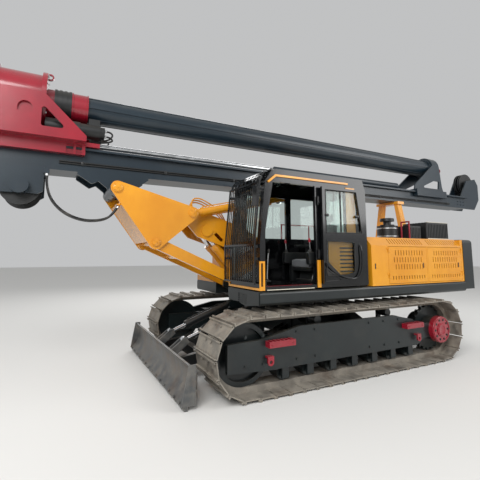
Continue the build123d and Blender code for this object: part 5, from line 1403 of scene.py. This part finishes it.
@dataclass
class TopGear(Dressing):
    """Ribs and painted highlights along the edges of the black boxes behind the cab, and clamps on the air cleaner's
    drum.

    A box is given by its X from and to and its Z from and to.
    """

    rear_box: tuple[float, ...] = (-2.86, -2.19, 2.11, 2.44)
    front_box: tuple[float, ...] = (-2.12, -1.76, 2.11, 2.36)

    def build(self) -> None:
        """Makes the top gear's fittings."""
        bench = self.bench
        ribs = []
        for (x0, x1, z0, z1), y, count in ((self.rear_box, 1.25, 13), (self.front_box, 1.18, 7)):
            for number in range(count):
                x = x0 + 0.05 + number * (x1 - x0 - 0.10) / (count - 1)
                ribs.append(bench.wedge((x - 0.009, y - 0.004, z0 + 0.03), (x + 0.009, y + 0.010, z1 - 0.03), 0, 0.7))
        bench.hand_over("box_ribs", ribs, "black_enamel", "upper")
        x0, x1, z0, z1 = self.rear_box
        # Painted highlight: pale strips on the rear box's top edge and near the foot of its face
        edges = [
            bench.block((x0 + 0.01, 1.225, z1 - 0.004), (x1 - 0.01, 1.247, z1 + 0.010), 0.004),
            bench.block((x0 + 0.01, 1.249, z0 + 0.003), (x1 - 0.01, 1.256, z0 + 0.020), 0.003),
        ]
        bench.hand_over("box_edge_highlights", edges, "edge_highlight_paint", "upper")
        clamps = [bench.tube((-1.5, 0.9, z), (0, 0, 1), 0.194, 0.186, 0.022, sides=48) for z in (2.15, 2.30)]
        bench.hand_over("drum_clamps", clamps, "drawn_steel", "upper")


@dataclass
class Mast(Dressing):
    """Bright rail strips, bolts, pipes and clamps of the mast."""

    half: float = 0.23
    flange_half: float = 0.30
    flange_top: float = 3.31
    front: float = 5.45
    bolt_xs: tuple[float, ...] = (-5.2, -5.08, -4.96, 5.12, 5.24, 5.36)
    bolt_zs: Pair = (3.18, 3.10)
    pipe_zs: Pair = (3.105, 3.078)
    pipe_y: float = 0.245
    clamp_xs: tuple[float, ...] = (3.9, 2.7, 1.5, 0.3, -0.9, -2.1, -3.3, -4.5)

    def build(self) -> None:
        """Makes the mast's fittings."""
        bench = self.bench
        rails, bolts = [], []
        for side in Side:
            out = side.value
            y0, y1 = sorted((out * (self.flange_half - 0.045), out * (self.flange_half - 0.008)))
            top = self.flange_top
            rails.append(bench.block((-2.9, y0, top - 0.002), (self.front - 0.1, y1, top + 0.0006), 0.0004))
            for z in self.bolt_zs:
                bolts += bench.bolts([((x, out * self.half, z), (0, out, 0)) for x in self.bolt_xs], 0.013)
        bench.hand_over("mast_rail_strips", rails, "drawn_steel", "mast_frame")
        bench.hand_over("mast_bolts", bolts, "mast_enamel", "mast_frame")
        lines = [bench.hose([(x, self.pipe_y, z) for x in (4.2, 2.0, -2.0, -4.6)], 0.010) for z in self.pipe_zs]
        clamps = []
        for x in self.clamp_xs:
            clamps.append(bench.block((x - 0.018, self.half - 0.004, 3.064), (x + 0.018, 0.258, 3.119), 0.004))
        bench.hand_over("mast_pipes", lines, "black_enamel", "mast_frame")
        bench.hand_over("mast_pipe_clamps", clamps, "black_enamel", "mast_frame")


@dataclass
class PowerHead(Dressing):
    """Flange bolts, hose ports and hoses of the rotary drive on its slide carriage."""

    axis_z: float = 3.975
    # The two ports of a motor: their height and how far each hose lies over the lower one
    ports: Outline = ((3.535, 0.0), (3.615, 0.03))

    def build(self) -> None:
        """Makes the power head's fittings."""
        bench = self.bench
        bolts = bench.bolts(bench.ring_spots((4.40, 0, self.axis_z), Axis.X, 0.400, 24, -1), 0.013)
        bench.hand_over("flange_bolts", bolts, "drawn_steel", "power_head")
        ports, hoses = [], []
        for side in Side:
            y = side.value * 0.24
            for z, rise in self.ports:
                ports.append(bench.disc((3.632, y, z), (-1, 0, 0), 0.022, 0.035, sides=6))
                route = [(3.600, y, z), (3.545, y, z), (3.500, y * 0.92, z - 0.04), (3.560, y * 0.80, 3.47 + rise)]
                route += [(3.700, y * 0.75, 3.445 + rise), (3.800, y * 0.75, 3.450 + rise)]
                hoses.append(bench.hose(route, 0.013))
        bench.hand_over("motor_ports", ports, "drawn_steel", "power_head")
        bench.hand_over("motor_hoses", hoses, "hose_rubber", "power_head", "hose_rubber")


def dress_nodes(frame: dict, finishes: dict[str, bpy.types.Material]) -> None:
    """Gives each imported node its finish.

    Args:
        frame: what the loader returned.
        finishes: the materials by name.
    """
    for name, piece in frame["nodes"].items():
        piece.data.materials.clear()
        piece.data.materials.append(finishes[NODE_FINISH[name]])
    LOG.info("dressed %d packed nodes", len(frame["nodes"]))


def main() -> None:
    """Builds the camera, the finishes and the mast's hoses, then the studio and each sub-assembly in order."""
    logging.basicConfig(level=logging.INFO, format="%(message)s")
    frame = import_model()
    bpy.context.scene.view_settings.view_transform = "Standard"
    PhotoCamera().build()
    finishes = {finish.name: finish.build() for finish in FINISHES}
    bench = Workshop(finishes)
    MastHoses(bench).build()
    Studio().build()
    dress_nodes(frame, finishes)
    for part in (Undercarriage, Blade, Cylinders, Linkage, Hood, TopGear, Cab, Seat, Mast, PowerHead):
        part(bench).build()


if __name__ == "__main__":
    main()
